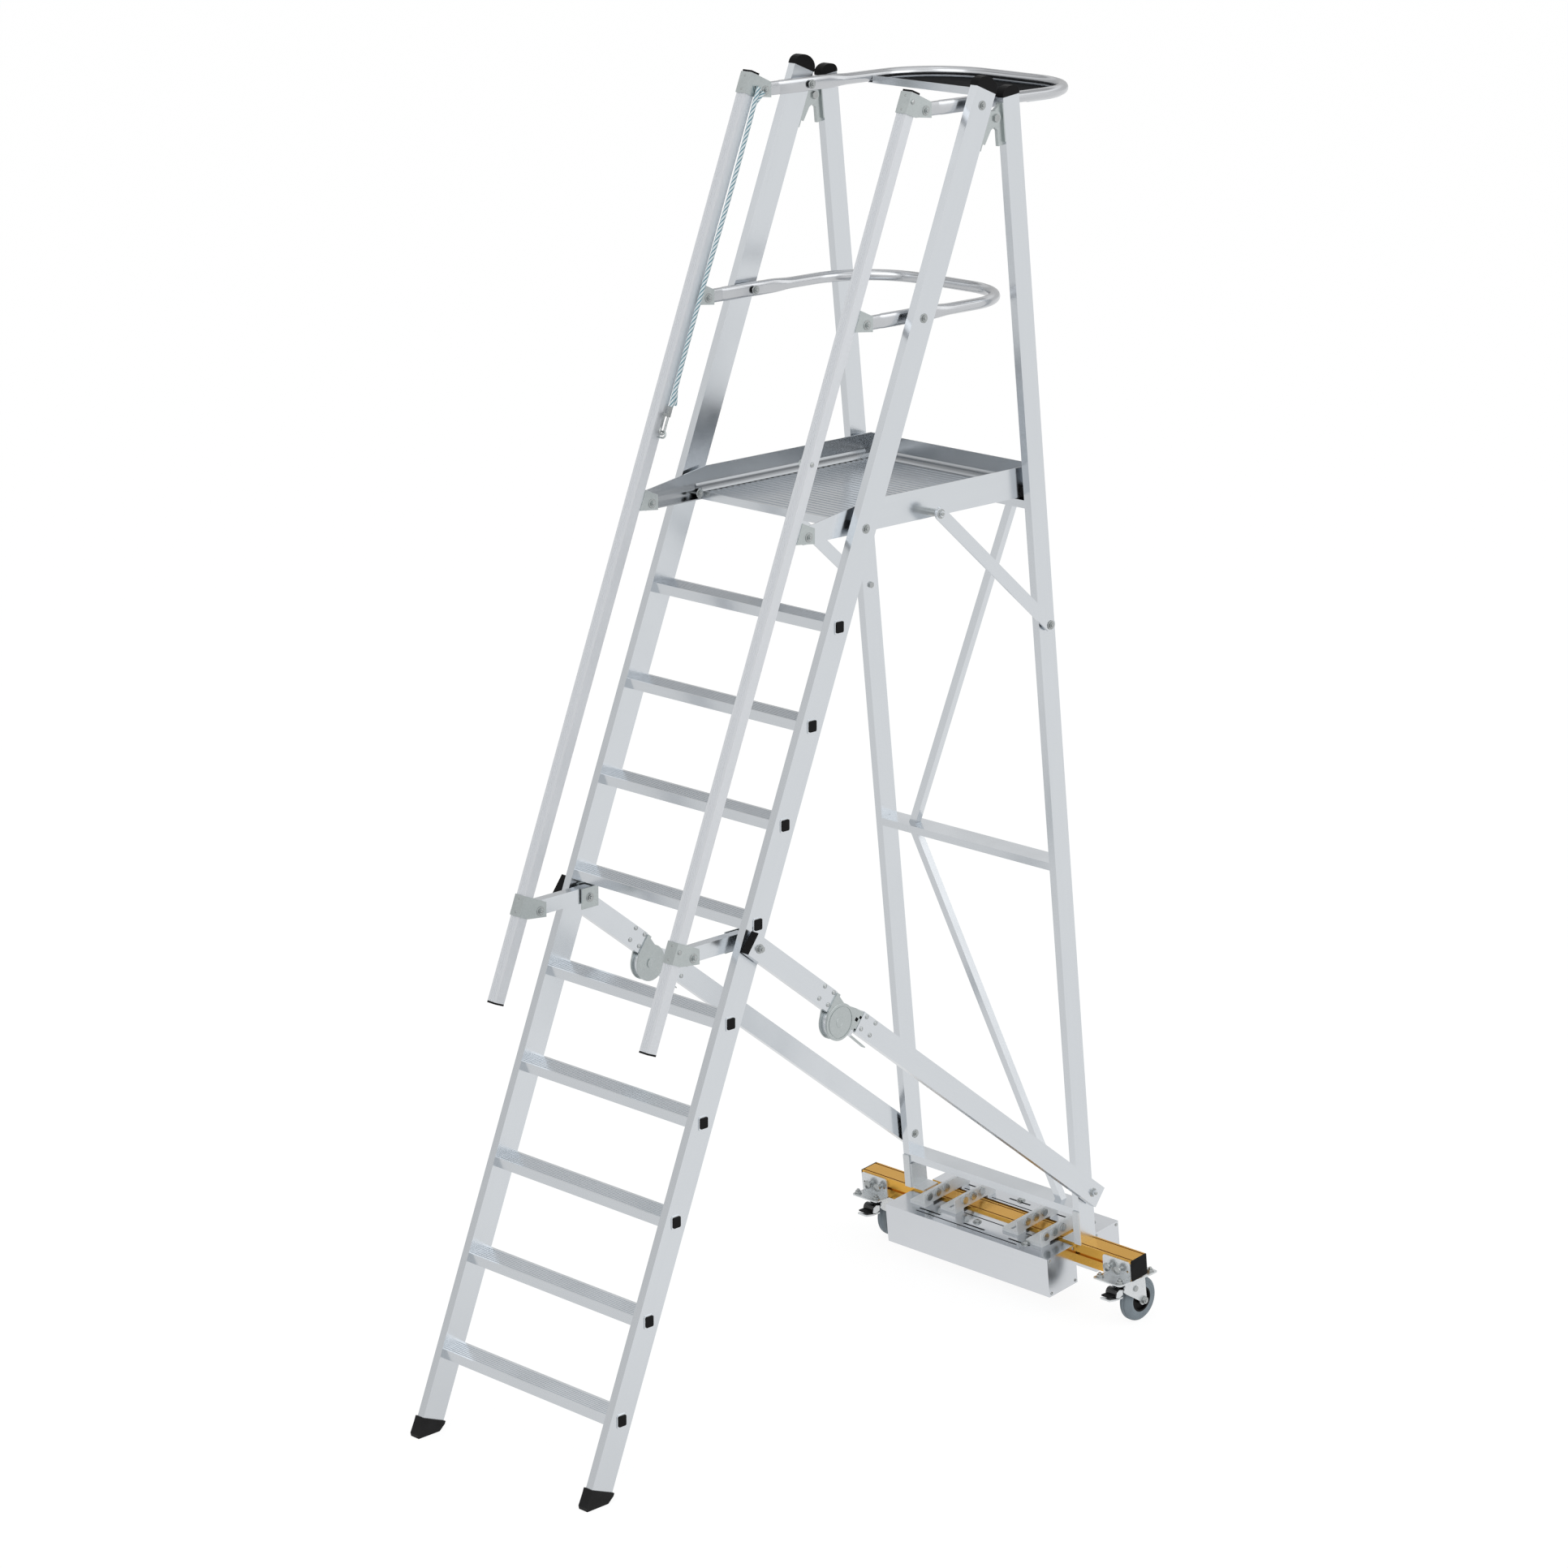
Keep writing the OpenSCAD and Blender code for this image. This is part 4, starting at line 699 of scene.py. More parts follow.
NODE_FINISHES: dict[Finish, tuple[str, ...]] = {
    RAIL_METAL: ("ladder_rail_left", "ladder_rail_right"),
    HAND_METAL: ("handrail_left", "handrail_right"),
    REAR_METAL: ("rear_rail_left", "rear_rail_right", "braces", "strut_left", "strut_right"),
    CROSS_METAL: ("treads", "upper_tube", "middle_tube", "lower_tube", "deck", "hoop_tray"),
    SIDE_METAL: ("arm_left", "arm_right"),
    BOARD_METAL: ("toe_left", "toe_right"),
    REAR_BOARD: ("toe_rear",),
    SPREAD_METAL: ("spreader_front_left", "spreader_front_right",
                   "spreader_rear_left", "spreader_rear_right"),
    TUBE_METAL: ("top_hoop", "middle_hoop"),
    BOX_METAL: ("front_ballast", "rear_ballast"),
    BEAM_METAL: ("beam",),
    ZINC: ("ladder_brackets", "rear_hinge_plates", "handrail_clips", "lock_discs",
           "lever_left", "lever_right"),
    PALE_ZINC: ("castor_mounts", "fork_left", "fork_right"),
    DULL_ZINC: ("leg_brackets", "clamp_angles"),
    BRIGHT: ("ladder_bolts", "rear_bolts", "mount_knobs", "platform_spacers", "snap_hook", "snap_gate"),
    BLACK: ("tread_plugs", "ladder_caps", "rear_caps", "glides", "handrail_caps", "spreader_caps",
            "pedal_left", "pedal_right", "hub_left", "hub_right"),
    RUBBER: ("feet",),
    TYRE_RUBBER: ("tyre_left", "tyre_right"),
    YARN: ("rope",),
}


@dataclass
class Shape:
    """Points and faces of one or more surfaces."""

    points: Array
    faces: list[list[int]]

    @staticmethod
    def joined(shapes: list["Shape"]) -> "Shape":
        """Put several shapes into one, with their faces' numbers moved on.

        Args:
            shapes: The shapes in order.

        Returns:
            One shape with all points and faces.
        """
        starts = np.cumsum([0] + [len(s.points) for s in shapes[:-1]])
        faces = [[i + start for i in f] for s, start in zip(shapes, starts) for f in s.faces]
        return Shape(np.concatenate([s.points for s in shapes]), faces)

    def with_mirror(self) -> "Shape":
        """Return the shape together with its mirror image on the other side."""
        other = Shape(self.points * np.array([-1.0, 1.0, 1.0]), [f[::-1] for f in self.faces])
        return Shape.joined([self, other])


def grid(points: Array, caps: bool = True) -> Shape:
    """Surface on a grid of points: each cell of rows and columns is a face, and the columns close.

    Args:
        points: Rows, columns and three coordinates.
        caps: Whether the first and last rows are closed by a face each.

    Returns:
        The surface.
    """
    rows, columns = points.shape[:2]
    index = np.arange(rows * columns).reshape(rows, columns)
    ring = np.concatenate([index, index[:, :1]], axis=1)
    cells = np.stack([ring[:-1, :-1], ring[:-1, 1:], ring[1:, 1:], ring[1:, :-1]], axis=-1)
    faces = cells.reshape(-1, 4).tolist()
    if caps:
        faces += [index[0, ::-1].tolist(), index[-1].tolist()]
    return Shape(points.reshape(-1, 3), faces)


def lathe(place: Place, profile: Profile, count: int = 20, caps: bool = True) -> Shape:
    """Turned piece: each profile point (a, r) becomes the ring a, r cos q, r sin q in the place's axes.

    Args:
        place: Axes whose first direction is the turning axis.
        profile: Distances along the axis and radii.
        count: Points round each ring.
        caps: Whether the first and last rings are closed.

    Returns:
        The surface.
    """
    a, r = np.array(profile, float).T[:, :, None]
    q = np.linspace(0.0, TURN, count, endpoint=False)[None, :]
    return grid(place.points(a, r * np.cos(q), r * np.sin(q)), caps)


def block(place: Place, low: Triple, high: Triple) -> Shape:
    """Box between two corners in the place's axes.

    Args:
        place: The axes.
        low: Lower corner.
        high: Upper corner.

    Returns:
        The closed box.
    """
    v = np.array([low[1], high[1], high[1], low[1]])[None, :]
    w = np.array([low[2], low[2], high[2], high[2]])[None, :]
    return grid(place.points(np.array([[low[0]], [high[0]]]), v, w))


def plate(place: Place, outline: Array, thickness: float, edge: float = 0.0006) -> Shape:
    """Flat piece with broken edges: the outline, drawn in a little on its two faces.

    Args:
        place: Axes; the outline lies in the second and third, the thickness along the first.
        outline: Points of the outline.
        thickness: How thick it is.
        edge: Width of the broken edge.

    Returns:
        The closed plate.
    """
    middle = outline.mean(axis=0)
    reach = np.linalg.norm(outline - middle, axis=1, keepdims=True)
    inner = middle + (outline - middle) * (1.0 - edge / reach)
    rows = np.stack([inner, outline, outline, inner])
    u = np.array([0.0, edge, thickness - edge, thickness])[:, None]
    return grid(place.points(u, rows[..., 0], rows[..., 1]))


def directions(line: Array) -> Array:
    """Unit directions of a line at its points."""
    ahead = np.gradient(line, axis=0)
    return ahead / np.linalg.norm(ahead, axis=1, keepdims=True)


class Workshop:
    """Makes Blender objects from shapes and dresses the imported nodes."""

    @staticmethod
    def piece(name: str, shape: Shape, finish: Finish, body: str, sharp: float = 32.0) -> bpy.types.Object:
        """Put a shape into a mesh object that rides on a body.

        Args:
            name: Name of the piece.
            shape: Its points and faces.
            finish: What it is made of.
            body: The body that carries it.
            sharp: Angle in degrees past which an edge stays sharp.

        Returns:
            The object.
        """
        mesh = bpy.data.meshes.new(name)
        mesh.from_pydata(shape.points.tolist(), [], shape.faces)
        work = bmesh.new()
        work.from_mesh(mesh)
        bmesh.ops.remove_doubles(work, verts=work.verts, dist=1e-6)
        bmesh.ops.recalc_face_normals(work, faces=work.faces)
        work.to_mesh(mesh)
        work.free()
        mesh.polygons.foreach_set("use_smooth", np.ones(len(mesh.polygons), bool))
        mesh.set_sharp_from_angle(angle=math.radians(sharp))
        mesh.materials.append(finish.material())
        made = bpy.data.objects.new(name, mesh)
        bpy.context.scene.collection.objects.link(made)
        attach(made, body)
        LOG.info("%s: %d faces on %s", name, len(mesh.polygons), body)
        return made

    @classmethod
    def both_sides(cls, name: str, shapes: list[Shape], finish: Finish, body: str) -> None:
        """Make one piece of several shapes and their mirror images."""
        cls.piece(name, Shape.joined(shapes).with_mirror(), finish, body)

    @staticmethod
    def dress_nodes() -> None:
        """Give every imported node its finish."""
        for finish, names in NODE_FINISHES.items():
            for name in names:
                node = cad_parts[name]
                node.data.materials.clear()
                node.data.materials.append(finish.material())
                LOG.info("%s: %s", name, finish.name)


@dataclass
class Rope:
    """Safety rope along the left handrail, from the top clip to its hook, with a tail at each end."""

    x: float = -0.2585
    behind: float = -0.1944726
    top: float = 3.5936649
    low: float = 2.7396649
    sway: float = 0.003
    diameter: float = 0.012
    core: float = 0.86
    lead: float = 0.063
    strands: int = 4
    pale: float = 0.62
    blur: float = 0.14
    rows: int = 760
    tail_rows: int = 60
    path_rows: int = 120
    columns: int = 48
    top_tail: tuple[Pair, Pair] = ((0.021, -0.008), (0.002, -0.042))
    low_tail: tuple[Pair, Pair] = ((0.001, 0.044), (0.012, 0.006))

    def route(self, count: int) -> Array:
        """Centreline of the rope: the straight way down with one slow sway.

        Args:
            count: Number of points.

        Returns:
            The points, from the clip to the hook.
        """
        f = np.linspace(0.0, 1.0, count)
        n = self.behind + self.sway * np.sin(TURN * f)
        t = self.top + (self.low - self.top) * f
        return LAYOUT.rail(self.x, 0.0, 0.0).points(np.zeros(count), n, t)

    def strand(self, name: str, line: Array) -> bpy.types.Object:
        """Tube round a line whose radius rises and falls over strands that wind with the lead.

        The ring at distance s has the radius d / 2 (core + (1 - core) sqrt(lobe)). The lobe is a sine over
        the pale part of the phase, strands (q / 2 pi - s / lead), and another one over its coloured part.

        Args:
            name: Name of the piece.
            line: Points of the centreline.

        Returns:
            The rope's object, with the coloured part in its strand attribute.
        """
        step = np.linalg.norm(np.diff(line, axis=0), axis=1)
        s = np.concatenate([[0.0], np.cumsum(step)])[:, None]
        angle = np.linspace(0.0, TURN, self.columns, endpoint=False)[None, :]
        phase = (self.strands * (angle / TURN - s / self.lead)) % 1.0
        pale = phase < self.pale
        share = np.where(pale, phase / self.pale, (phase - self.pale) / (1.0 - self.pale))
        lobe = np.sqrt(np.sin(np.pi * share))
        radius = self.diameter / 2 * (self.core + (1.0 - self.core) * lobe)
        out = np.cross(directions(line), X_AXIS)[:, None, :]
        ring = np.cos(angle)[..., None] * X_AXIS + np.sin(angle)[..., None] * out
        shape = grid(line[:, None, :] + radius[..., None] * ring)
        made = Workshop.piece(name, shape, YARN, "handrails", 60.0)
        inside = np.minimum(phase - self.pale, 1.0 - phase)
        depth = np.where(pale, -np.minimum(phase, self.pale - phase), inside)
        value = np.clip(0.5 + depth / self.blur, 0.0, 1.0)
        made.data.attributes.new("strand", "FLOAT", "POINT").data.foreach_set("value", value.reshape(-1))
        return made

    def tail(self, name: str, end: float, spots: tuple[Pair, Pair]) -> bpy.types.Object:
        """Short spliced strand beside an end of the rope.

        Args:
            name: Name of the piece.
            end: Distance of the rope's end along the rail.
            spots: Distances of the tail's two ends behind the rope's line and along from its end.

        Returns:
            The tail's object.
        """
        high, low = (LAYOUT.rail(self.x, self.behind + n, end + t).at for n, t in spots)
        f = np.linspace(0.0, 1.0, self.tail_rows)[:, None]
        return self.strand(name, high * (1.0 - f) + low * f)

    def build(self) -> None:
        """Make the rope and its two spliced tails, in place of the imported rope."""
        made = self.strand("rope_strands", self.route(self.rows))
        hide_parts("rope")
        tails = [self.tail("rope_tail_top", self.top, self.top_tail),
                 self.tail("rope_tail_low", self.low, self.low_tail)]
        path = self.route(self.path_rows)


@dataclass
class PivotBolts:
    """Washers, and stud ends past the nuts, on the bolts of the folding frame."""

    washer: float = 0.0125
    washer_t: float = 0.002
    stud: float = 0.0045
    stud_l: float = 0.0035
    washer_edge: float = 0.0006
    stud_edge: float = 0.001
    nut: float = 0.005
    tall_nut: float = 0.010
    hand_in: float = 0.2677
    clip_in: float = 0.2655
    clip_out: float = 0.3025
    arm_in: float = 0.264
    arm_out: float = 0.3633
    spread_out: float = 0.363
    strut_low: float = 0.3486
    strut_high: float = 0.348
    strut_back: float = 0.262

    def end(self, place: Place, nut: float | None = None) -> list[Shape]:
        """One bolt's end: a washer under the nut and the stud past it.

        Args:
            place: Axes on the face that the nut sits on, the first one outwards.
            nut: Height of the nut, or none for the usual one.

        Returns:
            The two turned pieces.
        """
        low = self.nut if nut is None else nut
        high = low + self.stud_l
        disc = [(0.0, self.washer), (self.washer_t - self.washer_edge, self.washer),
                (self.washer_t, self.washer - self.washer_edge)]
        tip = [(low, self.stud), (high - self.stud_edge, self.stud), (high, self.stud - self.stud_edge)]
        return [lathe(place, disc), lathe(place, tip, 14)]

    def build(self) -> None:
        """Make the ends for each body that carries bolts."""
        lay = LAYOUT
        pivots = (lay.platform_z, lay.mid_z, lay.top_z)
        clips = (*pivots, lay.arm_z)
        sets = {
            "ladder": [self.end(lay.pivot(lay.x_out, z)) for z in pivots]
            + [self.end(lay.pivot(self.hand_in, z).facing("-u")) for z in pivots]
            + [self.end(lay.spread(self.arm_out, 0.0, 0.0), self.tall_nut),
               self.end(lay.pivot(self.arm_in, lay.arm_z).facing("-u"))],
            "rear_frame": [self.end(lay.rear(self.strut_low, 0.0, lay.strut_s)),
                           self.end(lay.rear(lay.x_in, 0.0, lay.spread_s).facing("-u"))],
            "struts": [self.end(lay.pivot(self.strut_high, lay.platform_z, self.strut_back))],
            "spreader_rears": [self.end(lay.spread(self.spread_out, lay.spread_len, 0.0), self.tall_nut)],
            "handrails": [self.end(lay.pivot(self.clip_out, z, -lay.arm_len)) for z in clips]
            + [self.end(lay.pivot(self.clip_in, z, -lay.arm_len).facing("-u")) for z in clips],
        }
        for body, ends in sets.items():
            Workshop.both_sides(f"{body}_washers", [s for pair in ends for s in pair], BRIGHT, body)


@dataclass
class ClipDots:
    """Pressed dots and a stud on the handrails' end clips, and the screws of the hook's eyes."""

    front: float = -0.22797
    middle: float = -0.2104726
    clip_t: float = 0.0025
    eye: Pair = (-0.217, 2.662)
    dot_x: float = 0.284
    dot_rise: float = 0.018
    stud_ahead: float = 0.004
    stud_rise: float = 0.006

    def build(self) -> None:
        """Two dots above each other on a clip's front, a stud on its outer side and a screw lower down."""
        lay = LAYOUT
        dot = [(0.0, 0.0034), (0.0008, 0.003), (0.0012, 0.0)]
        stud = [(0.0, 0.0065), (0.002, 0.006), (0.003, 0.0035), (0.0031, 0.0)]
        shapes = [lathe(lay.rail(lay.x_hand_out, *self.eye), stud, 14)]
        for z in (lay.arm_z, lay.top_z):
            t = lay.along_rail(lay.rail_y(z) - lay.arm_len, z)
            for rise in (-self.dot_rise, self.dot_rise):
                shapes.append(lathe(lay.rail(self.dot_x, self.front, t + rise).facing("-v"), dot, 12))
            side = lay.rail(lay.x_hand_out + self.clip_t, self.middle - self.stud_ahead, t + self.stud_rise)
            shapes.append(lathe(side, stud, 14))
        Workshop.both_sides("clip_dots", shapes, BRIGHT, "handrails")


@dataclass
class LockFittings:
    """Ring and boss on the lock's disc, the button heads beside it, its shield and the painted shade of its
    detents.
    """

    along: float = 0.387
    below: float = 0.032
    face: float = 0.366
    spread_out: float = 0.363
    spread_in: float = 0.341
    ahead: Pair = (0.067, 0.107)
    behind: Pair = (0.088, 0.129)
    up: Pair = (0.019, 0.054)
    shield_x: float = 0.3605
    shield_t: float = 0.0016
    shield_r: float = 0.0505
    shield_turn: float = 80.0
    detent_x: float = 0.3616
    detent_t: float = 0.0012

    def disc(self) -> Shape:
        """Disc face with a ring groove near its edge and a boss in its middle.

        Returns:
            The turned face of the right lock.
        """
        profile = [(-0.002, 0.0497), (0.0006, 0.0497), (0.0012, 0.0488), (0.0012, 0.0432),
                   (-0.0006, 0.0427), (-0.0006, 0.0408), (0.0012, 0.0403), (0.0012, 0.0146),
                   (0.0022, 0.014), (0.0026, 0.009), (0.0014, 0.0075), (0.0014, 0.0)]
        return lathe(LAYOUT.spread(self.face, self.along, self.below), profile, 48)

    def buttons(self, way: float, places: Pair) -> list[Shape]:
        """Button heads with a socket, on both faces of a spreader.

        Args:
            way: -1 ahead of the lock, 1 behind it.
            places: Distances from the lock.

        Returns:
            The heads of the right spreader.
        """
        head = [(0.0, 0.0064), (0.0016, 0.006), (0.0028, 0.0042), (0.003, 0.0026),
                (0.0012, 0.0024), (0.0012, 0.0)]
        shapes = []
        for a in places:
            for b in self.up:
                spot = (self.along + way * a, self.below - b)
                shapes.append(lathe(LAYOUT.spread(self.spread_out, *spot), head, 14))
                shapes.append(lathe(LAYOUT.spread(self.spread_in, *spot).facing("-u"), head, 14))
        return shapes

    def shield(self) -> Shape:
        """Plate beside the disc: four corners, then an arc round the disc.

        Returns:
            The right shield.
        """
        corners = [(0.036, 0.0555), (0.0716, 0.0594), (0.0716, 0.0044), (0.054, 0.0024)]
        q = np.radians(np.linspace(0.0, self.shield_turn, 9))
        beside = self.shield_r * np.stack([np.cos(q), np.sin(q)], axis=1)
        place = LAYOUT.spread(self.shield_x, self.along, self.below)
        return plate(place, np.concatenate([corners, beside]), self.shield_t)

    def detent_shades(self) -> list[Shape]:
        """Dark squares of painted shade on the shield, at its detents, each from its place on the spreader
        and its half width.

        Returns:
            The squares of the right shield.
        """
        marks = [((0.4446, -0.0004), 0.0048), ((0.4550, -0.0109), 0.0036), ((0.4545, 0.0246), 0.0026)]
        return [block(LAYOUT.spread(self.detent_x, *spot), (0.0, -r, -r), (self.detent_t, r, r))
                for spot, r in marks]

    def build(self) -> None:
        """Make the disc faces, the heads, the shields and the painted shade of the detents."""
        Workshop.both_sides("lock_faces", [self.disc()], ZINC, "spreader_fronts")
        Workshop.both_sides("lock_buttons_front", self.buttons(-1.0, self.ahead), BRIGHT, "spreader_fronts")
        Workshop.both_sides("lock_buttons_rear", self.buttons(1.0, self.behind), BRIGHT, "spreader_rears")
        Workshop.both_sides("lock_shields", [self.shield()], ZINC, "spreader_rears")
        # painted shade: dark squares at the detents
        Workshop.both_sides("lock_detent_shades", self.detent_shades(), SHADOW, "spreader_rears")


@dataclass
class Hoop:
    """Guardrail bent from one tube, with its two ends pressed flat where they are bolted."""

    name: str
    body: str
    z: float
    reach: float
    end: float = 0.191
    half: float = 0.284
    bend: float = 0.195
    radius: float = 0.015
    flat: Pair = (0.0100, 0.0185)
    pressed: Pair = (0.72, 0.97)
    pressed_to: float = -0.105
    stations: tuple[float, ...] = (-0.115, -0.108, -0.1, 0.07, 0.09, 0.11, 0.13, 0.15)
    round_from: float = 0.07
    round_over: float = 0.08
    square: float = 0.55
    columns: int = 28

    def path(self) -> tuple[Array, Array]:
        """Right half of the route: straight back, a quarter turn, then to the middle.

        Returns:
            The distances to the right of the middle, and those behind the pivot.
        """
        run = self.reach - self.bend
        straight = np.array([-self.end, *self.stations, run])
        q = np.linspace(0.0, np.pi / 2, 16)[1:]
        side = np.full(len(straight), self.half)
        x = np.concatenate([side, self.half - self.bend * (1.0 - np.cos(q)), [0.0]])
        y = np.concatenate([straight, run + self.bend * np.sin(q), [self.reach]])
        return x, y

    def build(self) -> None:
        """Sweep a ring whose two half axes go from the flat end's to the tube's along the straight.

        The ring's points are the half axes times cos q and sin q, raised to a power that squares the
        flat part.
        """
        x, y = self.path()
        x = np.concatenate([x, -x[-2::-1]])
        y = np.concatenate([y, y[-2::-1]])
        line = LAYOUT.pivot(0.0, self.z).points(x, y, np.zeros(len(x)))
        side = np.cross(directions(line), Z_AXIS)[:, None, :]
        stays = y < self.pressed_to
        ease = np.clip((y - self.round_from) / self.round_over, 0.0, 1.0)
        round_off = ease * ease * (3.0 - 2.0 * ease)
        wide, tall = (np.where(stays, flat * share, flat + (self.radius - flat) * round_off)[:, None]
                      for flat, share in zip(self.flat, self.pressed))
        q = np.linspace(0.0, TURN, self.columns, endpoint=False)
        power = (self.square + (1.0 - self.square) * round_off)[:, None]
        across, up = (np.sign(c) * np.abs(c) ** power for c in (np.cos(q), np.sin(q)))
        ring = (wide * across)[..., None] * side + (tall * up)[..., None] * Z_AXIS
        shape = grid(line[:, None, :] + ring)
        made = Workshop.piece(f"{self.name}_bent", shape, TUBE_METAL, self.body, 40.0)
        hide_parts(self.name)


@dataclass
class DeckLedges:
    """Stepped strips at the foot of the toe boards, round three sides of the deck."""

    inner: float = 0.2734
    front: float = 0.012
    rear: float = 0.65
    lift: float = 0.003

    def build(self) -> None:
        """Carry the profile, outwards and upwards from the deck's edge, along the sides and the rear."""
        profile = [(0.0, 0.0), (-0.0048, 0.0004), (-0.0002, 0.0101), (0.0004, 0.0106), (0.019, 0.0106),
                   (0.0194, 0.011), (0.0222, 0.0175), (0.0229, 0.0178), (0.0229, 0.0)]
        out, up = np.array(profile).T[:, None, :]
        lay = LAYOUT
        place = lay.level(0.0, lay.rail_y(lay.platform_z), lay.platform_z + self.lift)
        along = np.array([[self.front], [self.rear]])
        side = grid(place.points(self.inner + out, along, up))
        across = np.array([[-self.inner], [self.inner]])
        back = grid(place.points(across, self.rear + out, up))
        # The ledges lie inside the boards' outer face, so all of them carry the painted shade.
        Workshop.piece("deck_ledges", Shape.joined([side.with_mirror(), back]), BOARD_METAL, "platform")


@dataclass
class TrayShade:
    """Dark sheet that paints the shade inside the tray under the top guardrail."""

    half: float = 0.266
    bend: float = 0.178
    front: float = 0.232
    reach: float = 0.464
    thick: float = 0.003
    drop: float = 0.0149

    def build(self) -> None:
        """Plate with two rounded rear corners, from quarter circles of the bend's radius."""
        q = np.linspace(0.0, np.pi / 2, 12)
        x = self.half - self.bend * (1 - np.cos(q))
        right = np.stack([x, self.reach - self.bend * (1 - np.sin(q))], axis=1)
        left = right[::-1] * np.array([-1.0, 1.0])
        outline = np.concatenate([[[self.half, self.front]], right, left, [[-self.half, self.front]]])
        lay = LAYOUT
        place = lay.level(0.0, lay.rail_y(lay.top_z), lay.top_z - self.drop).facing("+w")
        # painted shade: dark matt plate in the tray
        Workshop.piece("tray_painted_shade", plate(place, outline, self.thick), SHADOW, "top_guardrail")


@dataclass
class Ballast:
    """Screws, painted shade at the seams, and bolts on the two ballast boxes, in the rear rail's axes."""

    half: float = 0.308
    top: float = 0.19863
    front: Pair = (-0.145, -0.028)
    rear: Pair = (0.052, 0.154)
    low: Pair = (0.08263, 0.07963)
    inset: float = 0.009
    seam: Pair = (0.0016, 0.0004)

    def screws(self) -> list[Shape]:
        """Round screws near the corners of the boxes' right ends.

        Returns:
            The screws.
        """
        head = [(0.0, 0.0048), (0.0016, 0.0044), (0.0022, 0.0026), (0.0022, 0.0)]
        shapes = []
        for (m0, m1), low in zip((self.front, self.rear), self.low):
            for m in (m0 + self.inset, m1 - self.inset):
                for s in (low + self.inset, self.top - self.inset):
                    shapes.append(lathe(LAYOUT.rear(self.half, m, s), head, 12))
        return shapes

    def bolts(self) -> Shape:
        """Domed bolts on washers, on the boxes' tops.

        Returns:
            The bolts.
        """
        dome = [(0.0, 0.013), (0.0016, 0.0128), (0.0018, 0.0092), (0.005, 0.0088),
                (0.0072, 0.006), (0.008, 0.0)]
        spots = [(-0.0125, -0.080), (0.192, -0.104), (-0.0035, 0.094), (0.136, 0.126),
                 (0.254, 0.102), (-0.23, 0.11)]
        return Shape.joined([lathe(LAYOUT.rear(x, m, self.top).facing("+w"), dome, 16) for x, m in spots])

    def seam_shades(self) -> Shape:
        """Thin dark strips of painted shade where the sheets meet and along the beam's two sides.

        Returns:
            The strips.
        """
        runs = [(-0.208, 0.174, -0.123), (-0.17, -0.10, -0.0565), (-0.085, 0.075, -0.0565),
                (0.15, 0.185, -0.0565), (-0.19, -0.12, 0.0613), (-0.085, 0.1, 0.0613)]
        half, lift = self.seam
        return Shape.joined([block(LAYOUT.rear(0.0, m, self.top), (x0, -half, -lift), (x1, half, lift))
                             for x0, x1, m in runs])

    def build(self) -> None:
        """Make the three sets."""
        Workshop.both_sides("ballast_screws", self.screws(), BRIGHT, "rear_frame")
        Workshop.piece("ballast_bolts", self.bolts(), BRIGHT, "rear_frame")
        # painted shade: dark strips in the seams
        Workshop.piece("ballast_seam_shades", self.seam_shades(), SHADOW, "rear_frame")


@dataclass
class ClampKnobs:
    """Knurled discs of the clamp angles' knobs and the mushroom knobs of the castors' mounts."""

    outer: Pair = (-0.197, 0.246)
    inner: Pair = (-0.097, 0.140)
    outer_m: float = -0.081
    inner_m: float = -0.040
    pitch: float = 0.036
    s: float = 0.22763
    radius: float = 0.0118
    teeth: int = 18
    swing: float = 0.04
    stand: float = 0.0022
    thick: float = 0.0045
    edge: float = 0.001
    mount_x: Pair = (0.438, 0.476)
    mount_m: float = -0.032
    mount_s: float = 0.17413

    def disc(self, x: float, m: float) -> Shape:
        """Toothed disc: a circle whose radius swings by a small share once per tooth.

        Args:
            x: Distance of its angle to the right of the middle.
            m: Distance behind the rear rail's line.

        Returns:
            The disc.
        """
        q = np.linspace(0.0, TURN, 2 * self.teeth, endpoint=False)
        r = self.radius * (1.0 + self.swing * np.cos(self.teeth * q))
        outline = np.stack([r * np.cos(q), r * np.sin(q)], axis=1)
        return plate(LAYOUT.rear(x + self.stand, m, self.s), outline, self.thick, self.edge)

    def build(self) -> None:
        """Make the discs, three on each angle, and the mounts' knobs."""
        starts = [(x, self.outer_m) for x in self.outer] + [(x, self.inner_m) for x in self.inner]
        discs = [self.disc(x, m + k * self.pitch) for x, m in starts for k in range(3)]
        Workshop.piece("clamp_knobs", Shape.joined(discs), BRIGHT, "rear_frame")
        mushroom = [(0.0, 0.0062), (0.0105, 0.0062), (0.0115, 0.0118), (0.0135, 0.0126), (0.0165, 0.0118),
                    (0.0185, 0.0075), (0.019, 0.0)]
        spots = [LAYOUT.rear(x, self.mount_m, self.mount_s).facing("-v") for x in self.mount_x]
        knobs = [lathe(spot, mushroom) for spot in spots]
        Workshop.both_sides("mount_mushrooms", knobs, BRIGHT, "rear_frame")


@dataclass
class CastorBolts:
    """Washers and studs of the four bolts that hold each castor."""

    swivel: float = 0.463
    y: float = 1.86745
    top: float = 0.139
    apart: Pair = (0.036, 0.064)
    nut: float = 0.008

    def build(self) -> None:
        """Make a washer and a stud end at each bolt."""
        ends = PivotBolts(washer=0.0115, washer_t=0.0018, stud=0.0046, stud_l=0.006, nut=self.nut)
        half_x, half_y = self.apart
        shapes = []
        for dx in (-half_x, half_x):
            for dy in (-half_y, half_y):
                shapes += ends.end(LAYOUT.level(self.swivel + dx, self.y + dy, self.top).facing("+w"))
        Workshop.both_sides("castor_washers", shapes, BRIGHT, "rear_frame")


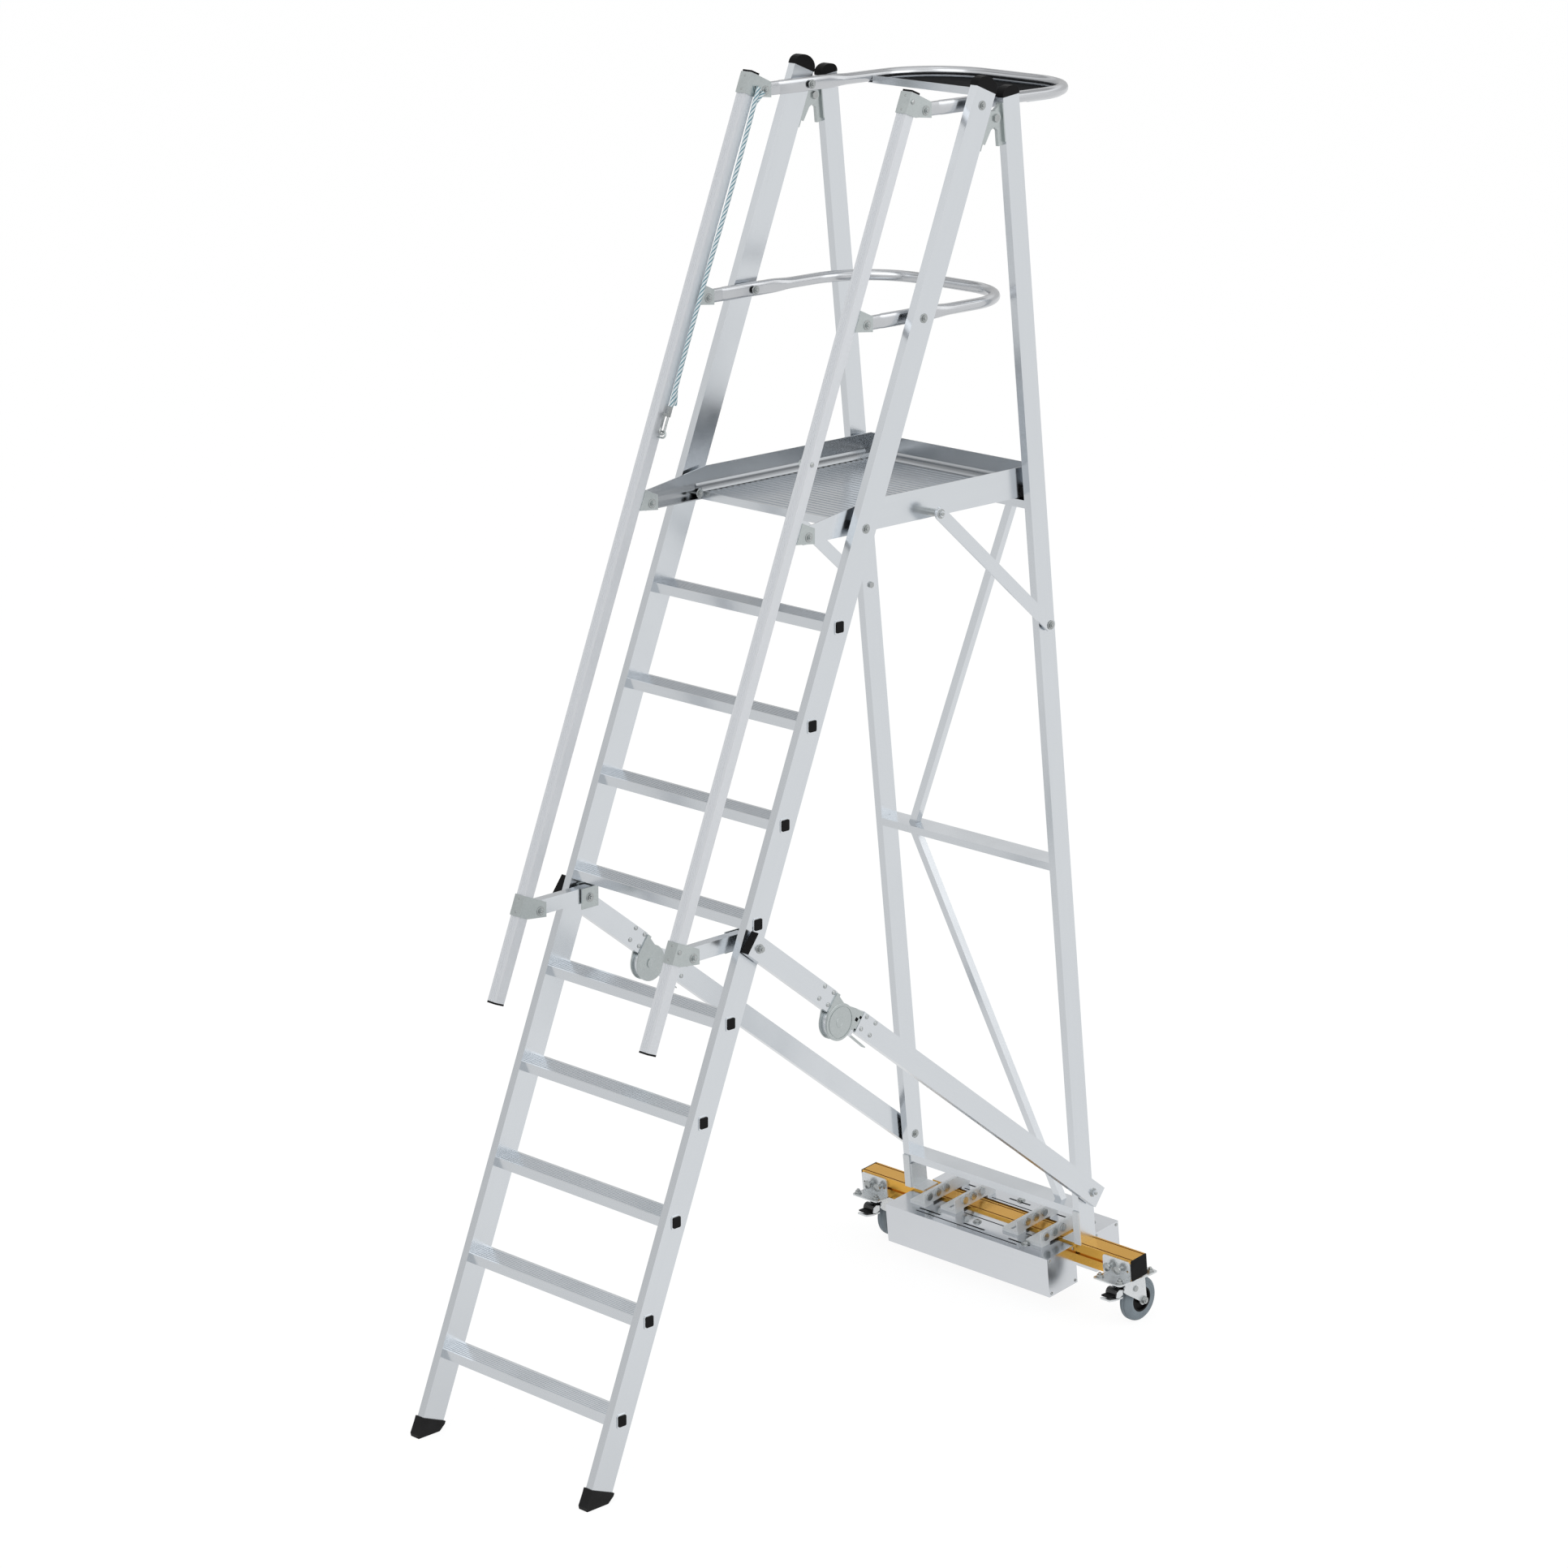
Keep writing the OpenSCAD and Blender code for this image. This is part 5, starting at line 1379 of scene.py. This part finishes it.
@dataclass
class Castor:
    """Tyre with ring grooves, the fork's nuts and bolts, and the metal and roll of the brake pedal."""

    side: str
    x: float
    axle: Pair = (1.90545, 0.0635)
    fork_bolt: Pair = (1.870, 0.1065)
    roll: Pair = (1.80645, 0.107)
    fork: float = 0.023
    tongue_half: float = 0.0172
    tongue_drop: float = 0.0135
    cheeks: Pair = (-0.0199, 0.0187)
    cheek_t: float = 0.0012
    cheek_edge: float = 0.0003

    def tyre(self) -> None:
        """Turned tyre: side walls with two rings and a tread with two grooves."""
        half = [(0.0, 0.0635), (0.0035, 0.0635), (0.0042, 0.0622), (0.0054, 0.0622), (0.0062, 0.0633),
                (0.0095, 0.0622), (0.0128, 0.0590), (0.0148, 0.0552), (0.0152, 0.0530), (0.0144, 0.0520),
                (0.0150, 0.0508), (0.0158, 0.0462), (0.0150, 0.0450), (0.0158, 0.0438), (0.0160, 0.0385),
                (0.0160, 0.0361)]
        profile = [(-a, r) for a, r in half[:0:-1]] + half
        shape = lathe(LAYOUT.level(self.x, *self.axle), profile + profile[:1], 64, caps=False)
        made = Workshop.piece(f"tyre_{self.side}_ringed", shape, TYRE_RUBBER, f"wheel_{self.side}", 25.0)
        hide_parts(f"tyre_{self.side}")

    def nuts(self) -> Shape:
        """Axle nut and bolt head on each cheek of the fork.

        Returns:
            The four of them.
        """
        nut = [(0.0, 0.0125), (0.002, 0.0125), (0.0021, 0.0098), (0.009, 0.0094), (0.0095, 0.0052),
               (0.0125, 0.005), (0.013, 0.0)]
        bolt = [(0.0, 0.0085), (0.0035, 0.0082), (0.0045, 0.0)]
        return Shape.joined([lathe(LAYOUT.level(self.x + reach, *spot).facing(way), profile, 16)
                             for way, reach in (("+u", self.fork), ("-u", -self.fork))
                             for spot, profile in ((self.axle, nut), (self.fork_bolt, bolt))])

    def pedal(self) -> Shape:
        """Tongue under the roll and a cheek on each side of it.

        Returns:
            The three plates.
        """
        y, z = self.roll
        tongue = np.array([(0.018, -0.0046), (0.018, 0.0), (-0.012, 0.0012), (-0.0385, 0.0052),
                           (-0.0385, 0.0002), (-0.012, -0.0046)])
        cheek = np.array([(0.0145, 0.008), (0.0, 0.012), (-0.011, 0.006), (-0.013, -0.008),
                          (0.0, -0.0128), (0.0145, -0.006)])
        under = LAYOUT.level(self.x - self.tongue_half, y, z - self.tongue_drop)
        pieces = [plate(under, tongue, 2 * self.tongue_half)]
        beside = [LAYOUT.level(self.x + dx, y, z) for dx in self.cheeks]
        pieces += [plate(place, cheek, self.cheek_t, self.cheek_edge) for place in beside]
        return Shape.joined(pieces)

    def build(self) -> None:
        """Make the tyre, the nuts on the fork and the pedal's metal and roll."""
        self.tyre()
        Workshop.piece(f"fork_{self.side}_nuts", self.nuts(), BRIGHT, f"castor_{self.side}")
        Workshop.piece(f"pedal_{self.side}_metal", self.pedal(), PALE_ZINC, f"brake_{self.side}")
        shell = [(-0.0185, 0.0141), (-0.0175, 0.0147), (0.0175, 0.0147), (0.0185, 0.0141)]
        roll = lathe(LAYOUT.level(self.x, *self.roll), shell, 28)
        Workshop.piece(f"pedal_{self.side}_roll", roll, SHINY_BLACK, f"brake_{self.side}")


@dataclass(frozen=True)
class Lamp:
    """Square soft lamp that faces a point of the part, with its power in watts."""

    name: str
    at: Triple
    size: float
    power: float
    to: Triple = (0.0, 0.0, 1.4)

    def build(self) -> None:
        """Hang the lamp."""
        data = bpy.data.lights.new(self.name, "AREA")
        data.size = self.size
        data.energy = self.power
        made = bpy.data.objects.new(self.name, data)
        made.location = self.at
        made.rotation_euler = (Vector(self.to) - Vector(self.at)).to_track_quat("-Z", "Y").to_euler()
        bpy.context.scene.collection.objects.link(made)


@dataclass
class Studio:
    """Camera, floor and light."""

    camera_at: Triple = (8.35075, -8.38075, 4.93712)
    azimuth: float = 44.879
    elevation: float = 15.634
    lens: float = 107.87
    sensor: float = 36.0
    sight: float = 200.0
    ambient: float = 0.6
    room_base: float = 1.752
    room_slope: Triple = (0.58, -0.18, 0.148)
    sky: tuple[Pair, ...] = ((0.001, 1.0), (0.2, 0.94), (0.31, 0.9), (0.41, 1.4), (0.52, 1.3),
                             (0.6, 0.5), (0.66, 0.55), (0.76, 1.1), (0.99, 1.0))
    sky_full: float = 2.0
    floor_half: float = 60.0
    floor_tone: float = 0.85
    floor_white: float = 1.12
    floor_way: Triple = (0.7071, 0.7071, 0.0)
    floor_grade: tuple[Pair, Pair] = ((-1.2, 1.0), (0.86, 1.0))
    gloss_share: float = 0.9
    white_share: float = 0.8
    lamps: tuple[Lamp, ...] = (Lamp("key_lamp", (2.0, -6.0, 8.0), 7.0, 150.0),
                               Lamp("side_lamp", (7.0, 3.0, 6.0), 6.0, 90.0))

    def camera(self) -> None:
        """Put the camera where the picture was taken from."""
        data = bpy.data.cameras.new("camera")
        data.lens = self.lens
        data.sensor_width = self.sensor
        data.clip_end = self.sight
        made = bpy.data.objects.new("camera", data)
        made.location = self.camera_at
        made.rotation_euler = (math.radians(90.0 - self.elevation), 0.0, math.radians(self.azimuth))
        bpy.context.scene.collection.objects.link(made)
        bpy.context.scene.camera = made

    @staticmethod
    def _layered(tree: Tree, base: Node, layers: tuple[tuple[Node, str, float], ...], output: str) -> None:
        """Lay shaders over a base, each for one kind of ray, and join them to a new output.

        Args:
            tree: Tree that the nodes go into.
            base: Shader that all other rays meet.
            layers: Shader, kind of ray and share of each layer, from the lowest up.
            output: Kind of the output's node.
        """
        path = tree.nodes.new("ShaderNodeLightPath")
        last = base
        for shade, ray, share in layers:
            mix = tree.nodes.new("ShaderNodeMixShader")
            tree.links.new(reckoned(tree, "MULTIPLY", path.outputs[ray], share), mix.inputs["Fac"])
            tree.links.new(last.outputs[0], mix.inputs[1])
            tree.links.new(shade.outputs[0], mix.inputs[2])
            last = mix
        tree.links.new(last.outputs[0], tree.nodes.new(output).inputs["Surface"])

    def world(self) -> None:
        """White to the camera, a room of soft tones to gloss, and an even soft light elsewhere."""
        world = bpy.data.worlds.new("surroundings")
        world.use_nodes = True
        tree = world.node_tree
        tree.nodes.clear()
        way = tree.nodes.new("ShaderNodeTexCoord").outputs["Generated"]
        ramp = tree.nodes.new("ShaderNodeValToRGB")
        for place, tone in self.sky:
            shade = tone / self.sky_full
            ramp.color_ramp.elements.new(place).color = (shade, shade, shade, 1.0)
        ramp.color_ramp.elements.remove(ramp.color_ramp.elements[0])
        tree.links.new(weighted(tree, way, (0.0, 0.0, 1.0)), ramp.inputs["Fac"])
        slope = reckoned(tree, "ADD", weighted(tree, way, self.room_slope), self.room_base)
        room = tree.nodes.new("ShaderNodeMath")
        room.operation = "MULTIPLY"
        tree.links.new(slope, room.inputs[0])
        tree.links.new(ramp.outputs["Color"], room.inputs[1])
        even, gloss, white = (tree.nodes.new("ShaderNodeBackground") for _ in range(3))
        for shade in (even, gloss, white):
            shade.inputs["Color"].default_value = WHITE
        even.inputs["Strength"].default_value = self.ambient
        white.inputs["Strength"].default_value = 1.0
        tree.links.new(room.outputs[0], gloss.inputs["Strength"])
        layers = ((gloss, "Is Glossy Ray", 1.0), (white, "Is Camera Ray", 1.0))
        self._layered(tree, even, layers, "ShaderNodeOutputWorld")
        bpy.context.scene.world = world

    def floor(self) -> None:
        """White floor that keeps the object's soft shadow and shows graded in the metal's gloss."""
        half = self.floor_half
        mesh = bpy.data.meshes.new("floor")
        corners = [(-half, -half, 0), (half, -half, 0), (half, half, 0), (-half, half, 0)]
        mesh.from_pydata(corners, [], [(0, 1, 2, 3)])
        made = bpy.data.objects.new("floor", mesh)
        data = bpy.data.materials.new("floor_white")
        data.use_nodes = True
        tree = data.node_tree
        tree.nodes.clear()
        matt = tree.nodes.new("ShaderNodeBsdfDiffuse")
        matt.inputs["Color"].default_value = (self.floor_tone, self.floor_tone, self.floor_tone, 1.0)
        white = tree.nodes.new("ShaderNodeEmission")
        white.inputs["Strength"].default_value = self.floor_white
        graded = tree.nodes.new("ShaderNodeEmission")
        here = tree.nodes.new("ShaderNodeTexCoord").outputs["Object"]
        ease = tree.nodes.new("ShaderNodeMapRange")
        ease.interpolation_type = "SMOOTHSTEP"
        source, target = self.floor_grade
        for key, number in zip(("From Min", "From Max", "To Min", "To Max"), (*source, *target)):
            ease.inputs[key].default_value = number
        tree.links.new(weighted(tree, here, self.floor_way), ease.inputs["Value"])
        tree.links.new(ease.outputs["Result"], graded.inputs["Strength"])
        layers = ((graded, "Is Glossy Ray", self.gloss_share), (white, "Is Camera Ray", self.white_share))
        self._layered(tree, matt, layers, "ShaderNodeOutputMaterial")
        mesh.materials.append(data)
        bpy.context.scene.collection.objects.link(made)

    def build(self) -> None:
        """Set the camera, the surroundings, the floor and the lamps."""
        self.camera()
        self.world()
        self.floor()
        for lamp in self.lamps:
            lamp.build()
        bpy.context.scene.view_settings.view_transform = "Standard"


def main() -> None:
    """Build the studio, the cord and every dressed piece in order."""
    logging.basicConfig(level=logging.INFO, format="%(name)s: %(message)s")
    Studio().build()
    Rope().build()
    Workshop.dress_nodes()
    PivotBolts().build()
    ClipDots().build()
    LockFittings().build()
    Hoop("top_hoop", "top_guardrail", LAYOUT.top_z, reach=0.482).build()
    Hoop("middle_hoop", "middle_guardrail", LAYOUT.mid_z, reach=0.438).build()
    DeckLedges().build()
    TrayShade().build()
    Ballast().build()
    ClampKnobs().build()
    CastorBolts().build()
    Castor("right", x=0.477).build()
    Castor("left", x=-0.449).build()


if __name__ == "__main__":
    main()
